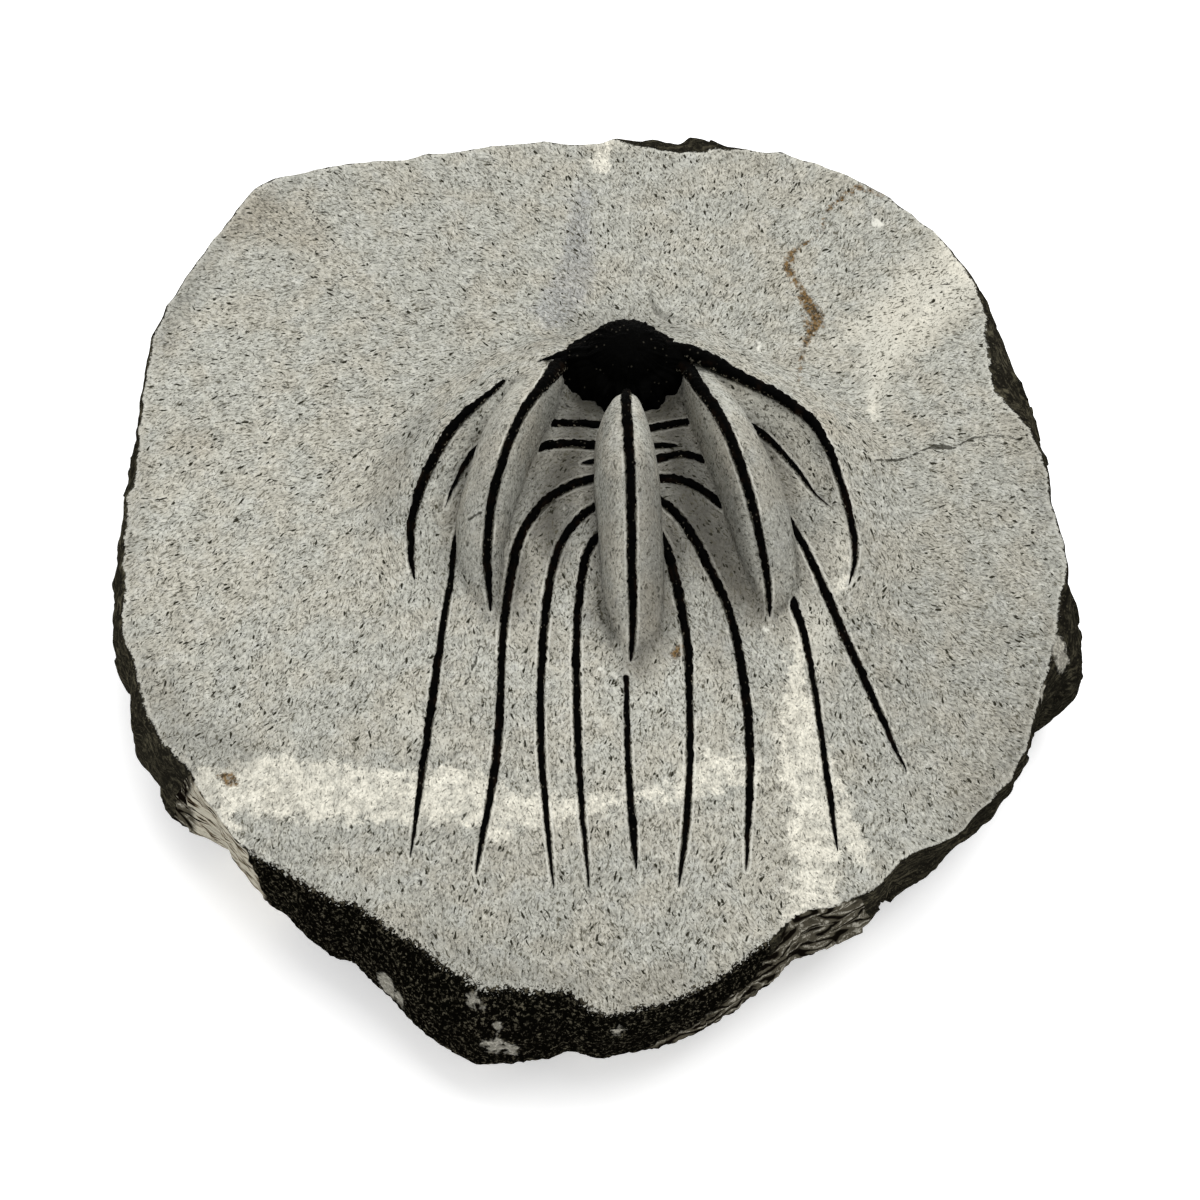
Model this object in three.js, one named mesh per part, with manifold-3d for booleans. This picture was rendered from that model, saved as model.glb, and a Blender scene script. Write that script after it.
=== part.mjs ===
// A long-spined fossil trilobite in its block of limestone.
// Millimetres, +Z up. The origin is under the middle of the block, on its flat foot.
// The head faces +Y and the spines sweep back towards -Y. Left is -X and right is +X.

import * as THREE from "three";
import { mergeVertices } from "three/addons/utils/BufferGeometryUtils.js";
import Module from "manifold-3d";

const wasm = await Module();
wasm.setup();

// ---------------------------------------------------------------- driving dimensions

const gap = 0.3; // clearance between the fossil and the stone that holds it

const block = {
  columns: 68, // upright strips round the side
  rings: 8, // rings on the prepared face
  rimHeight: 19.5, // edge of the prepared face above the foot
  crown: 1.5, // rise of the face from its edge to its middle
  halfWidth: 52,
  halfDepth: 55,
  crustHeight: 15.5,
  crustShare: 0.75, // how much of the side's bulge is reached at the height of the crust
  bellyHeight: 9,
  heelHeight: 3,
  heelInset: 2,
  footInset: 5.5,
};

const mound = { x: 2.5, y: 12, rise: 3, spread: 17 };

// Edge of the prepared face, seen from above: x, y, and how far the side bulges out below it.
const rim = [
  [50.1, 0.5, 0.2], [49.3, 8, 0.6], [47.3, 15.4, 2.4], [44.2, 20.2, 5.8], [43.3, 27, 4.4],
  [43, 32.6, 2.2], [39.2, 41.4, 0.6], [35.6, 45.3, 0.6], [32, 48.4, 0.6], [28.4, 50.8, 0.6],
  [22, 54.2, 0.5], [17.4, 54.8, 1], [13.9, 54.9, 4.2], [11.2, 54.8, 7.2], [8.5, 54.8, 5.8],
  [5, 55.1, 5.2], [2.4, 56, 3], [0.9, 56.7, 0.8], [-0.8, 56, 0.5], [-12.2, 55.3, 0.4],
  [-24, 53.6, 0.4], [-39.5, 50, 0.5], [-44.4, 42.8, 0.6], [-48.5, 35.8, 0.6], [-51.3, 26.1, 0.7],
  [-52, 19.3, 0.8], [-52.2, 6.2, 1.5], [-52.2, -2.7, 2], [-51.8, -8.8, 1.9], [-51.2, -12.4, 0.9],
  [-49.8, -15.6, 1.4], [-48.6, -19, 2.2], [-47.2, -22.8, 1.8], [-45.8, -24.8, 1.9],
  [-43.9, -26.5, 2.6], [-42.8, -28.8, 1], [-41.5, -30.8, -0.4], [-39.8, -33.2, -0.7],
  [-38.2, -35.2, -0.6], [-35.9, -36.9, 0.3], [-32.5, -38.5, 1.3], [-28.5, -41.3, 2.1],
  [-23.3, -44.2, 2.8], [-18.1, -47.7, 4.1], [-13.9, -50.8, 4.4], [-10.6, -52, 4.2], [-4, -52.2, 2.8],
  [-0.6, -54.2, 0.9], [4.4, -53.8, 0.5], [9.6, -51.6, 0.6], [15.4, -47.5, 0.8], [20.3, -44, 0.4],
  [24.9, -42.6, 0], [28.2, -40.8, -0.4], [29.6, -38.6, -0.6], [32, -36.4, -0.9], [35.2, -35.2, -1.2],
  [37.3, -34, -1.5], [40, -31.3, -1.4], [43, -27.9, -0.9], [44.2, -25.2, -0.5], [45.4, -22.2, 0.2],
  [46.1, -19.6, 0.3], [47.2, -16.6, 0.6], [48.1, -14.4, 2], [48.6, -11.8, 4.2], [49.2, -8.8, 4],
  [49.6, -5.2, 2.6], [50.2, -2.6, 0.5],
];

// Low banks of stone under the two outer spines: a long outer slope and a short inner one.
const bank = {
  outerSlope: 9,
  innerSlope: 6,
  toe: 0.8, // depth of the foot of each slope below the face
  root: 3, // depth of the buried underside
  steps: 9,
};

const outerCrests = {
  left: [
    [-6.5, 20.5, 26.4],
    [-11, 17.2, 27.2],
    [-16.9, 11.3, 26.2],
    [-20.6, 3.3, 23.5],
    [-21, -1, 21.9],
    [-20.5, -5, 20.8],
  ],
  right: [
    [8.6, 21.6, 26.6],
    [14.3, 18.1, 27.2],
    [20.3, 14.5, 26.8],
    [23.5, 11.5, 25.9],
    [26.8, 1.8, 22.8],
    [27.1, -2.4, 21.4],
    [26.4, -5, 20.7],
  ],
};

// Upright fins of stone under the inner and middle spines: crest points, and the fin's
// half-thickness on its left and right at the same points.
const fins = {
  inner_left: {
    crest: [
      [-4.9, 20, 26.2],
      [-6.2, 16, 29.2],
      [-8.6, 11.2, 30.8],
      [-10.5, 6.6, 30.2],
      [-12, 1.6, 28],
      [-12.6, -3.4, 24.8],
      [-12.2, -8.8, 21],
    ],
    left: [3.4, 4.4, 4.7, 4.6, 4.4, 3.4, 2],
    right: [0.8, 1.1, 1.5, 1.8, 1.7, 1.7, 1.4],
  },
  middle: {
    crest: [
      [2.4, 15.8, 26],
      [2.4, 13, 31.2],
      [2.3, 9.8, 33.8],
      [2.6, 4.8, 33.4],
      [2.8, -1.4, 31],
      [2.9, -7.4, 27],
      [3, -12, 23],
      [2.7, -15.2, 20.6],
    ],
    left: [1, 1.9, 3.4, 3.9, 3.4, 3.2, 2.4, 1.4],
    right: [1, 2.1, 3, 3.5, 3.7, 3.7, 3.6, 3],
  },
  inner_right: {
    crest: [
      [8.8, 19.6, 26.4],
      [10.2, 15.2, 29.2],
      [12.5, 10, 30.8],
      [14.6, 4.8, 29.4],
      [16.4, -1.2, 26.6],
      [17.5, -5.8, 23.2],
      [17.7, -9.3, 20.9],
    ],
    left: [0.8, 1.2, 1.8, 2.2, 2.2, 2, 1.6],
    right: [3, 4.2, 4.8, 5.1, 4.7, 4.3, 3],
  },
};

const finShape = {
  root: 4, // depth of a fin below the face
  fullness: 0.6, // 1 is a half ellipse across, less is squarer
  endRound: 0.07, // share of the length over which each end closes
  steps: 13,
  corners: 8,
};

// Spines of the trunk and tail, from the middle fin out to the tip: x and y on the face.
const trunkSpines = {
  left_1: [[0.6, 13.6], [-6.2, 14.2], [-11, 12.8], [-14.6, 9.9], [-16.5, 6.3], [-17.4, 3.9]],
  left_2: [
    [0.6, 10.8], [-7, 11.2], [-12.8, 7.2], [-15.9, 1.6], [-16.5, -3.5], [-17.2, -9], [-20.1, -37.2],
  ],
  left_3: [[0.6, 9], [-2.5, 8.8]],
  left_4: [
    [0.6, 7], [-3.2, 6.3], [-6.6, 4.2], [-9, 0.6], [-10.2, -4.8], [-10.9, -12.1], [-11.3, -25],
    [-13.3, -39.1],
  ],
  left_5: [[0.6, 4.6], [-2.7, 2.2], [-4.9, -1.2], [-6.1, -6.8], [-6.8, -21.6], [-5.3, -40.7]],
  left_6: [[0.8, 1.9], [-1.7, -1.5], [-2.6, -6], [-3, -12], [-2.6, -28.6], [-1.6, -40.6]],
  middle: [[2.3, -16.4], [2.5, -27], [3.2, -38.6]],
  right_6: [[5, 1.6], [6.6, -1.1], [7.5, -4.6], [8.4, -9], [8.9, -14], [8.7, -30.9], [7.6, -40.6]],
  right_5: [[5, 5], [8.2, 2.3], [11.1, -3.1], [13.6, -9.6], [15.2, -22.7], [14.6, -38.8]],
  right_4: [[5, 6.9], [8.8, 6.6], [12.4, 4.4], [18, -1.8], [20.5, -8], [21.6, -12.5], [24.1, -36.4]],
  right_3: [
    [5, 9], [8.9, 10], [13, 8.6], [17.6, 5.8], [20.4, 2.2], [22.2, -1.6], [26, -12], [31.6, -27.2],
  ],
  right_2: [[5, 10.9], [8, 11.1]],
  right_1: [[5, 13.2], [8.9, 14.2], [13.4, 14.3], [16.8, 13], [20.4, 9.6], [23.4, 5.1], [24.6, 3.8]],
};

const spine = {
  sides: 6,
  stepLength: 6, // along the spine
  rootRadius: 0.6,
  tipRadius: 0.22,
  sunk: 0.1, // how far the middle line lies below the stone's surface
};

// Head: its parts' centres and half-sizes, and the thin broken root of the left outer spine.
// It stands on the mound, sunk in the stone.
const head = {
  shield: { centre: [2.5, 20.3, 23.4], half: [8.3, 5.7, 3.9] },
  glabella: { centre: [2.5, 21.3, 25.3], half: [4.9, 4.5, 4] },
  eyes: [
    { centre: [-2.5, 20.6, 25.4], half: [2, 2.2, 1.9] },
    { centre: [7.4, 20.6, 25.4], half: [2, 2.2, 1.9] },
  ],
  brokenRoot: [[-1.5, 22.4, 25.4], [-3.6, 21.6, 25.9], [-5.6, 20.8, 26.3], [-7.4, 20, 26.6]],
};

// ---------------------------------------------------------------- materials

function stone(colour, roughness) {
  return new THREE.MeshStandardMaterial({ color: colour, roughness: roughness, metalness: 0 });
}

const limestone = () => stone(0xa9a79b, 0.95);
const darkShell = () => stone(0x0b0b0a, 0.55);

// ---------------------------------------------------------------- helpers

// A closed skin through a row of equal-length loops, with a fan across each end. Looking from
// the last loop back to the first, the loops run anticlockwise.
function loft(loops) {
  const count = loops[0].length;
  const positions = loops.flat().flatMap((point) => [point.x, point.y, point.z]);
  const faces = [];
  for (let row = 0; row < loops.length - 1; row += 1) {
    for (let column = 0; column < count; column += 1) {
      const here = row * count + column;
      const beside = row * count + ((column + 1) % count);
      faces.push(here, beside, beside + count, here, beside + count, here + count);
    }
  }
  const last = (loops.length - 1) * count;
  for (let column = 1; column < count - 1; column += 1) {
    faces.push(0, column + 1, column);
    faces.push(last, last + column, last + column + 1);
  }
  const geometry = new THREE.BufferGeometry();
  geometry.setAttribute("position", new THREE.Float32BufferAttribute(positions, 3));
  geometry.setIndex(faces);
  return geometry;
}

function toSolid(geometry) {
  geometry.deleteAttribute("normal");
  geometry.deleteAttribute("uv");
  const merged = mergeVertices(geometry, 1e-3);
  return new wasm.Manifold(new wasm.Mesh({
    numProp: 3,
    vertProperties: new Float32Array(merged.attributes.position.array),
    triVerts: new Uint32Array(merged.index.array),
  }));
}

function fromSolid(solid) {
  const mesh = solid.getMesh();
  const geometry = new THREE.BufferGeometry();
  geometry.setAttribute("position", new THREE.BufferAttribute(mesh.vertProperties, 3));
  geometry.setIndex(new THREE.BufferAttribute(mesh.triVerts, 1));
  geometry.computeVertexNormals();
  return geometry;
}

// The cuts leave bubbles and crumbs finer than a sand grain. The second pass frees the ones
// that touch the stone at a corner.
function withoutCrumbs(solid) {
  let whole = solid.simplify(0.02);
  for (let pass = 0; pass < 2; pass += 1) {
    const pieces = toSolid(fromSolid(whole)).decompose();
    whole = pieces.reduce((best, piece) => (piece.volume() > best.volume() ? piece : best));
  }
  return whole;
}

function named(name, solid, material) {
  const mesh = new THREE.Mesh(fromSolid(solid), material);
  mesh.name = name;
  return mesh;
}

function curveThrough(points) {
  const stops = points.map((point) => new THREE.Vector3(...point));
  return new THREE.CatmullRomCurve3(stops, false, "centripetal");
}

// The closest point of a crest line to a place on the face, and which side of it the place is:
// 1 for the right side and -1 for the left.
function nearestOnCrest(stops, x, y) {
  let best = { distance: Infinity };
  for (let index = 0; index < stops.length - 1; index += 1) {
    const start = stops[index];
    const run = stops[index + 1].clone().sub(start);
    const reach = ((x - start.x) * run.x + (y - start.y) * run.y) / (run.x ** 2 + run.y ** 2);
    const along = THREE.MathUtils.clamp(reach, 0, 1);
    const point = start.clone().addScaledVector(run, along);
    const distance = Math.hypot(x - point.x, y - point.y);
    if (distance < best.distance) {
      const side = Math.sign(run.x * (y - start.y) - run.y * (x - start.x));
      best = { distance, side, height: point.z };
    }
  }
  return best;
}

// ---------------------------------------------------------------- the stone's surface

function faceHeight(x, y) {
  const spread = (x / block.halfWidth) ** 2 + (y / block.halfDepth) ** 2;
  const fromMound = ((x - mound.x) ** 2 + (y - mound.y) ** 2) / mound.spread ** 2;
  return block.rimHeight + block.crown * Math.max(0, 1 - spread) + mound.rise * Math.exp(-fromMound);
}

// The left bank's long slope is on its left side, the right bank's on its right side.
const banks = [
  { crest: outerCrests.left, outerSide: -1 },
  { crest: outerCrests.right, outerSide: 1 },
];

function slopeWidth(side, outerSide) {
  return side === outerSide ? bank.outerSlope : bank.innerSlope;
}

function groundHeight(x, y) {
  const face = faceHeight(x, y);
  const heights = banks.map(({ crest, outerSide }) => {
    const near = nearestOnCrest(curveThrough(crest).getPoints(12), x, y);
    const share = Math.min(1, near.distance / slopeWidth(near.side, outerSide));
    return THREE.MathUtils.lerp(near.height, face - bank.toe, share);
  });
  return Math.max(face, ...heights);
}

// ---------------------------------------------------------------- the block

function blockSolid() {
  const outline = new THREE.CatmullRomCurve3(
    rim.map(([x, y, flare]) => new THREE.Vector3(x, y, flare)), true, "centripetal");
  const edge = outline.getSpacedPoints(block.columns).slice(0, block.columns);
  const outward = edge.map((point, index) => {
    const before = edge[(index + block.columns - 1) % block.columns];
    const after = edge[(index + 1) % block.columns];
    return new THREE.Vector2(after.y - before.y, before.x - after.x).normalize();
  });
  const sideLoop = (height, offset) => edge.map((point, index) => new THREE.Vector3(
    point.x + outward[index].x * offset(point.z),
    point.y + outward[index].y * offset(point.z),
    height));
  const faceLoop = (share) => edge.map((point) => {
    const x = THREE.MathUtils.lerp(mound.x, point.x, share);
    const y = THREE.MathUtils.lerp(mound.y, point.y, share);
    return new THREE.Vector3(x, y, faceHeight(x, y));
  });
  const loops = [
    sideLoop(0, (flare) => flare - block.footInset),
    sideLoop(block.heelHeight, (flare) => flare - block.heelInset),
    sideLoop(block.bellyHeight, (flare) => flare),
    sideLoop(block.crustHeight, (flare) => flare * block.crustShare),
  ];
  for (let ring = block.rings; ring > 0; ring -= 1) {
    loops.push(faceLoop(ring / block.rings));
  }
  return toSolid(loft(loops));
}

// Points on an upright plane across a crest line: each offset is to the right of the line.
function sectionAcross(curve, along, offsets, heights) {
  const point = curve.getPoint(along);
  const forward = curve.getTangent(along);
  const right = new THREE.Vector2(-forward.y, forward.x).normalize();
  return offsets.map((offset, index) => new THREE.Vector3(
    point.x + right.x * offset, point.y + right.y * offset, heights[index]));
}

function bankSolid({ crest, outerSide }) {
  const curve = curveThrough(crest);
  const loops = [];
  for (let step = 0; step <= bank.steps; step += 1) {
    const along = step / bank.steps;
    const point = curve.getPoint(along);
    const low = faceHeight(point.x, point.y) - bank.root;
    const offsets = [-slopeWidth(-1, outerSide), 0, slopeWidth(1, outerSide)];
    const [left, top, right] = sectionAcross(curve, along, offsets, [0, point.z, 0]);
    left.z = Math.min(faceHeight(left.x, left.y), point.z) - bank.toe;
    right.z = Math.min(faceHeight(right.x, right.y), point.z) - bank.toe;
    loops.push([left.clone().setZ(low), left, top, right, right.clone().setZ(low)]);
  }
  return toSolid(loft(loops.reverse()));
}

// Value of a list of numbers, read as a smooth row, at a share of its length.
function valueAlong(values, along) {
  const place = along * (values.length - 1);
  const index = Math.min(Math.floor(place), values.length - 2);
  return THREE.MathUtils.lerp(values[index], values[index + 1], place - index);
}

function finSolid({ crest, left, right }) {
  const curve = curveThrough(crest);
  const loops = [];
  for (let step = 0; step <= finShape.steps; step += 1) {
    const along = (1 - Math.cos(Math.PI * step / finShape.steps)) / 2;
    const fromEnd = Math.min(along, 1 - along) / finShape.endRound;
    const closing = Math.sqrt(THREE.MathUtils.clamp(fromEnd, 0.08, 1));
    const point = curve.getPoint(along);
    const low = faceHeight(point.x, point.y) - finShape.root;
    const offsets = [];
    const heights = [];
    for (let corner = 0; corner <= finShape.corners; corner += 1) {
      const angle = Math.PI * corner / finShape.corners;
      const across = -Math.cos(angle);
      offsets.push(across * closing * valueAlong(across < 0 ? left : right, along));
      heights.push(low + (point.z - low) * Math.sin(angle) ** finShape.fullness);
    }
    loops.push(sectionAcross(curve, along, offsets, heights));
  }
  return toSolid(loft(loops.reverse()));
}

// ---------------------------------------------------------------- the fossil

function lobe({ centre, half }, extra) {
  const ball = new THREE.SphereGeometry(1, 16, 9);
  ball.rotateX(Math.PI / 2);
  ball.scale(half[0] + extra, half[1] + extra, half[2] + extra);
  ball.translate(...centre);
  return toSolid(ball);
}

// A tapering six-sided rod along a curve.
function rodSolid(curve, rootRadius, tipRadius) {
  const section = new THREE.Shape();
  for (let side = 0; side < spine.sides; side += 1) {
    const angle = 2 * Math.PI * side / spine.sides;
    section[side ? "lineTo" : "moveTo"](Math.cos(angle), Math.sin(angle));
  }
  section.closePath();
  const steps = Math.max(2, Math.round(curve.getLength() / spine.stepLength));
  const rod = new THREE.ExtrudeGeometry(section, { steps, extrudePath: curve, bevelEnabled: false });
  const stations = curve.getSpacedPoints(steps);
  const corner = new THREE.Vector3();
  const positions = rod.attributes.position;
  for (let index = 0; index < positions.count; index += 1) {
    corner.fromBufferAttribute(positions, index);
    const distances = stations.map((station) => Math.abs(station.distanceTo(corner) - 1));
    const nearest = distances.indexOf(Math.min(...distances));
    const radius = THREE.MathUtils.lerp(rootRadius, tipRadius, nearest / steps);
    corner.sub(stations[nearest]).multiplyScalar(radius).add(stations[nearest]);
    positions.setXYZ(index, corner.x, corner.y, corner.z);
  }
  return toSolid(rod);
}

// The head, grown on every side by an extra thickness when it cuts its own seat.
function headSolid(extra = 0) {
  const lobes = [head.shield, head.glabella, ...head.eyes].map((part) => lobe(part, extra));
  const root = rodSolid(curveThrough(head.brokenRoot), spine.rootRadius + extra, spine.tipRadius + extra);
  return lobes.reduce((whole, part) => whole.add(part), root);
}

function crestCurve(points) {
  return curveThrough(points.map(([x, y, z]) => [x, y, z - spine.sunk]));
}

function groundCurve(points) {
  const plan = curveThrough(points.map(([x, y]) => [x, y, 0]));
  const count = Math.max(2, Math.round(plan.getLength() / spine.stepLength));
  return curveThrough(plan.getSpacedPoints(count).map(
    ({ x, y }) => [x, y, groundHeight(x, y) - spine.sunk]));
}

const spineCurves = {
  middle_spine: crestCurve(fins.middle.crest),
  inner_spine_left: crestCurve(fins.inner_left.crest),
  inner_spine_right: crestCurve(fins.inner_right.crest),
  outer_spine_left: crestCurve(outerCrests.left.slice(1)),
  outer_spine_right: crestCurve(outerCrests.right),
};
for (const [name, points] of Object.entries(trunkSpines)) {
  const kind = name === "middle" ? "tail_spine" : "trunk_spine";
  spineCurves[`${kind}_${name}`] = groundCurve(points);
}

// ---------------------------------------------------------------- assembly

const fossil = new THREE.Group();
const seat = headSolid(gap);

let matrix = blockSolid();
for (const side of banks) {
  matrix = matrix.add(bankSolid(side));
}
for (const fin of Object.values(fins)) {
  matrix = matrix.add(finSolid(fin));
}
matrix = matrix.subtract(seat);

for (const [name, curve] of Object.entries(spineCurves)) {
  const groove = rodSolid(curve, spine.rootRadius + gap, spine.tipRadius + gap);
  const rod = rodSolid(curve, spine.rootRadius, spine.tipRadius).subtract(seat);
  matrix = matrix.subtract(groove);
  fossil.add(named(name, rod, darkShell()));
}

fossil.add(named("matrix", withoutCrumbs(matrix), limestone()));
fossil.add(named("head_shield", headSolid(), darkShell()));

export default fossil;
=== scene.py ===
import math

import bpy
import numpy as np
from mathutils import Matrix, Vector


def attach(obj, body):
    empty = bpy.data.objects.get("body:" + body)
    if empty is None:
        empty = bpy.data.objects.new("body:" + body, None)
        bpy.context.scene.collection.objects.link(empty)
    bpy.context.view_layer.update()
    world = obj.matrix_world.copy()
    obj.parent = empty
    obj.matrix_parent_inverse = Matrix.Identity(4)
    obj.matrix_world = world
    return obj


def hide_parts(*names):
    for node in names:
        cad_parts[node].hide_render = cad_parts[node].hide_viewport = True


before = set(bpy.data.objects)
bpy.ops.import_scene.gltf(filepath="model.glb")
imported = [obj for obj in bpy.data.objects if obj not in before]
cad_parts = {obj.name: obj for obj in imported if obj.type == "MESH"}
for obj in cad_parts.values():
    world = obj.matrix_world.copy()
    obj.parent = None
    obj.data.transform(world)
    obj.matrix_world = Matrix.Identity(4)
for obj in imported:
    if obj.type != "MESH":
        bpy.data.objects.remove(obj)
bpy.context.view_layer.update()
mm = 0.001
print("frame loaded,", len(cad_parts), "nodes")


# number helpers
def smooth(low, high, value):
    share = np.clip((value - low) / (high - low), 0, 1)
    return share * share * (3 - 2 * share)


def softMax(a, b, width):
    share = np.clip(0.5 + (a - b) / (2 * width), 0, 1)
    return b + (a - b) * share + width * share * (1 - share)


# chance comes from tables of this length, each cell read at a place scattered by these factors
chanceCount = 4096
scatter = (73856093, 19349663, 83492791)


def chancePlace(cell):
    key = cell[..., 0] * scatter[0] ^ cell[..., 1] * scatter[1] ^ cell[..., 2] * scatter[2]
    return key & (chanceCount - 1)


def cloud(points, size, seed):
    # smooth noise from -1 to 1 over cells of this size; the seed picks its pattern
    table = np.random.default_rng(seed).random(chanceCount) * 2 - 1
    scaled = points / size
    cell = np.floor(scaled).astype(np.int64)
    part = scaled - cell
    part = part * part * (3 - 2 * part)
    total = 0
    for corner in range(8):
        step = [(corner >> axis) & 1 for axis in range(3)]
        weight = 1
        for axis in range(3):
            weight = weight * (part[..., axis] if step[axis] else 1 - part[..., axis])
        total = total + table[chancePlace(cell + np.array(step))] * weight
    return total


def clouds(points, size, seed, octaves=3):
    return sum(cloud(points, size / 2 ** k, seed + k) / 2 ** k for k in range(octaves))


def chipFacets(points, size, seed):
    # height above the nearest of many scattered points: flat chips with sharp edges between them
    rng = np.random.default_rng(seed)
    jitter = rng.random((chanceCount, 3))
    lift = rng.random(chanceCount)
    scaled = points / size
    cell = np.floor(scaled).astype(np.int64)
    best = np.full(points.shape[:-1], 9.0)
    value = np.zeros(points.shape[:-1])
    for corner in range(27):
        step = np.array([corner % 3 - 1, corner // 3 % 3 - 1, corner // 9 - 1])
        near = cell + step
        key = chancePlace(near)
        away = near + jitter[key] - scaled
        distance = (away ** 2).sum(-1)
        closer = distance < best
        tilt = (away * (jitter[key] - 0.5)).sum(-1) * 1.6
        value = np.where(closer, lift[key] - 0.5 + tilt, value)
        best = np.where(closer, distance, best)
    return value


def throughPoints(points, count):
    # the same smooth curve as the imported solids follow
    points = np.array(points, float)
    last = len(points) - 1
    line = []
    for place in np.linspace(0, last, count):
        k = min(int(place), last - 1)
        w = place - k
        p1, p2 = points[k], points[k + 1]
        p0 = points[k - 1] if k > 0 else 2 * points[0] - points[1]
        p3 = points[k + 2] if k + 2 <= last else 2 * points[-1] - points[-2]
        pairs = ((p0, p1), (p1, p2), (p2, p3))
        d0, d1, d2 = (max(np.sqrt(np.linalg.norm(b - a)), 1e-4) for a, b in pairs)
        t1 = ((p1 - p0) / d0 - (p2 - p0) / (d0 + d1) + (p2 - p1) / d1) * d1
        t2 = ((p2 - p1) / d1 - (p3 - p1) / (d1 + d2) + (p3 - p2) / d2) * d1
        square = (3 * p2 - 3 * p1 - 2 * t1 - t2) * w ** 2
        line.append(p1 + t1 * w + square + (2 * p1 - 2 * p2 + t1 + t2) * w ** 3)
    return np.array(line)


def evenly(line, count):
    lengths = np.append(0, np.cumsum(np.linalg.norm(np.diff(line, axis=0), axis=1)))
    stops = np.linspace(0, lengths[-1], count)
    return np.stack([np.interp(stops, lengths, line[:, k]) for k in range(line.shape[1])], -1)


def nearLine(line, x, y):
    # plan distance to a line, which side of it, how far along it and its height there. For a line
    # that runs back from the head, the side towards +X is positive.
    best = np.full(x.shape, 1e9)
    side = np.zeros(x.shape)
    along = np.zeros(x.shape)
    height = np.zeros(x.shape)
    for k in range(len(line) - 1):
        ax, ay, az = line[k][:3]
        rx, ry, rz = line[k + 1][:3] - line[k][:3]
        share = np.clip(((x - ax) * rx + (y - ay) * ry) / (rx * rx + ry * ry + 1e-12), 0, 1)
        gap = (x - ax - share * rx) ** 2 + (y - ay - share * ry) ** 2
        closer = gap < best
        best = np.where(closer, gap, best)
        side = np.where(closer, np.sign(rx * (y - ay) - ry * (x - ax)), side)
        along = np.where(closer, (k + share) / (len(line) - 1), along)
        height = np.where(closer, az + share * rz, height)
    return np.sqrt(best), side, along, height


# the block of limestone
block = {
    "columns": 300, "rows": 226, "crowding": 0.13, "busyAt": (2, 2), "busy": 0.9, "busySpread": 26,
    "rimHeight": 19.5, "crown": 1.5, "halfWidth": 52, "halfDepth": 55,
    "moundAt": (2.5, 12), "moundRise": 3, "moundSpread": 17,
    "waviness": 0.16, "toolMarks": 0.05, "fineMarks": 0.03,
    "nickDepth": 0.34, "notchDepth": 0.42,
}

# edge of the prepared face, and how far the side bulges out below each place on it
rim = [
    (50.1, 0.5, 0.2), (49.3, 8, 0.6), (47.3, 15.4, 2.4), (44.2, 20.2, 5.8), (43.3, 27, 4.4),
    (43, 32.6, 2.2), (39.2, 41.4, 0.6), (35.6, 45.3, 0.6), (32, 48.4, 0.6), (28.4, 50.8, 0.6),
    (22, 54.2, 0.5), (17.4, 54.8, 1), (13.9, 54.9, 4.2), (11.2, 54.8, 7.2), (8.5, 54.8, 5.8),
    (5, 55.1, 5.2), (2.4, 56, 3), (0.9, 56.7, 0.8), (-0.8, 56, 0.5), (-12.2, 55.3, 0.4),
    (-24, 53.6, 0.4), (-39.5, 50, 0.5), (-44.4, 42.8, 0.6), (-48.5, 35.8, 0.6), (-51.3, 26.1, 0.7),
    (-52, 19.3, 0.8), (-52.2, 6.2, 1.5), (-52.2, -2.7, 2), (-51.8, -8.8, 1.9), (-51.2, -12.4, 0.9),
    (-49.8, -15.6, 1.4), (-48.6, -19, 2.2), (-47.2, -22.8, 1.8), (-45.8, -24.8, 1.9),
    (-43.9, -26.5, 2.6), (-42.8, -28.8, 1), (-41.5, -30.8, -0.4), (-39.8, -33.2, -0.7),
    (-38.2, -35.2, -0.6), (-35.9, -36.9, 0.3), (-32.5, -38.5, 1.3), (-28.5, -41.3, 2.1),
    (-23.3, -44.2, 2.8), (-18.1, -47.7, 4.1), (-13.9, -50.8, 4.4), (-10.6, -52, 4.2),
    (-4, -52.2, 2.8), (-0.6, -54.2, 0.9), (4.4, -53.8, 0.5), (9.6, -51.6, 0.6), (15.4, -47.5, 0.8),
    (20.3, -44, 0.4), (24.9, -42.6, 0), (28.2, -40.8, -0.4), (29.6, -38.6, -0.6), (32, -36.4, -0.9),
    (35.2, -35.2, -1.2), (37.3, -34, -1.5), (40, -31.3, -1.4), (43, -27.9, -0.9),
    (44.2, -25.2, -0.5), (45.4, -22.2, 0.2), (46.1, -19.6, 0.3), (47.2, -16.6, 0.6),
    (48.1, -14.4, 2), (48.6, -11.8, 4.2), (49.2, -8.8, 4), (49.6, -5.2, 2.6), (50.2, -2.6, 0.5),
]

# crest of each low bank, and which side its long slope is on
banks = {
    "left": {
        "slope": -1,
        "crest": [
            (-6.5, 20.5, 26.4), (-11, 17.2, 27.2), (-16.9, 11.3, 26.2), (-20.6, 3.3, 23.5),
            (-21, -1, 21.9), (-20.5, -5, 20.8),
        ],
    },
    "right": {
        "slope": 1,
        "crest": [
            (8.6, 21.6, 26.6), (14.3, 18.1, 27.2), (20.3, 14.5, 26.8), (23.5, 11.5, 25.9),
            (26.8, 1.8, 22.8), (27.1, -2.4, 21.4), (26.4, -5, 20.7),
        ],
    },
}
bankShape = {"outer": 9, "inner": 6, "toe": 0.8, "steepness": 1.15, "blend": 0.5}

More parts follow.
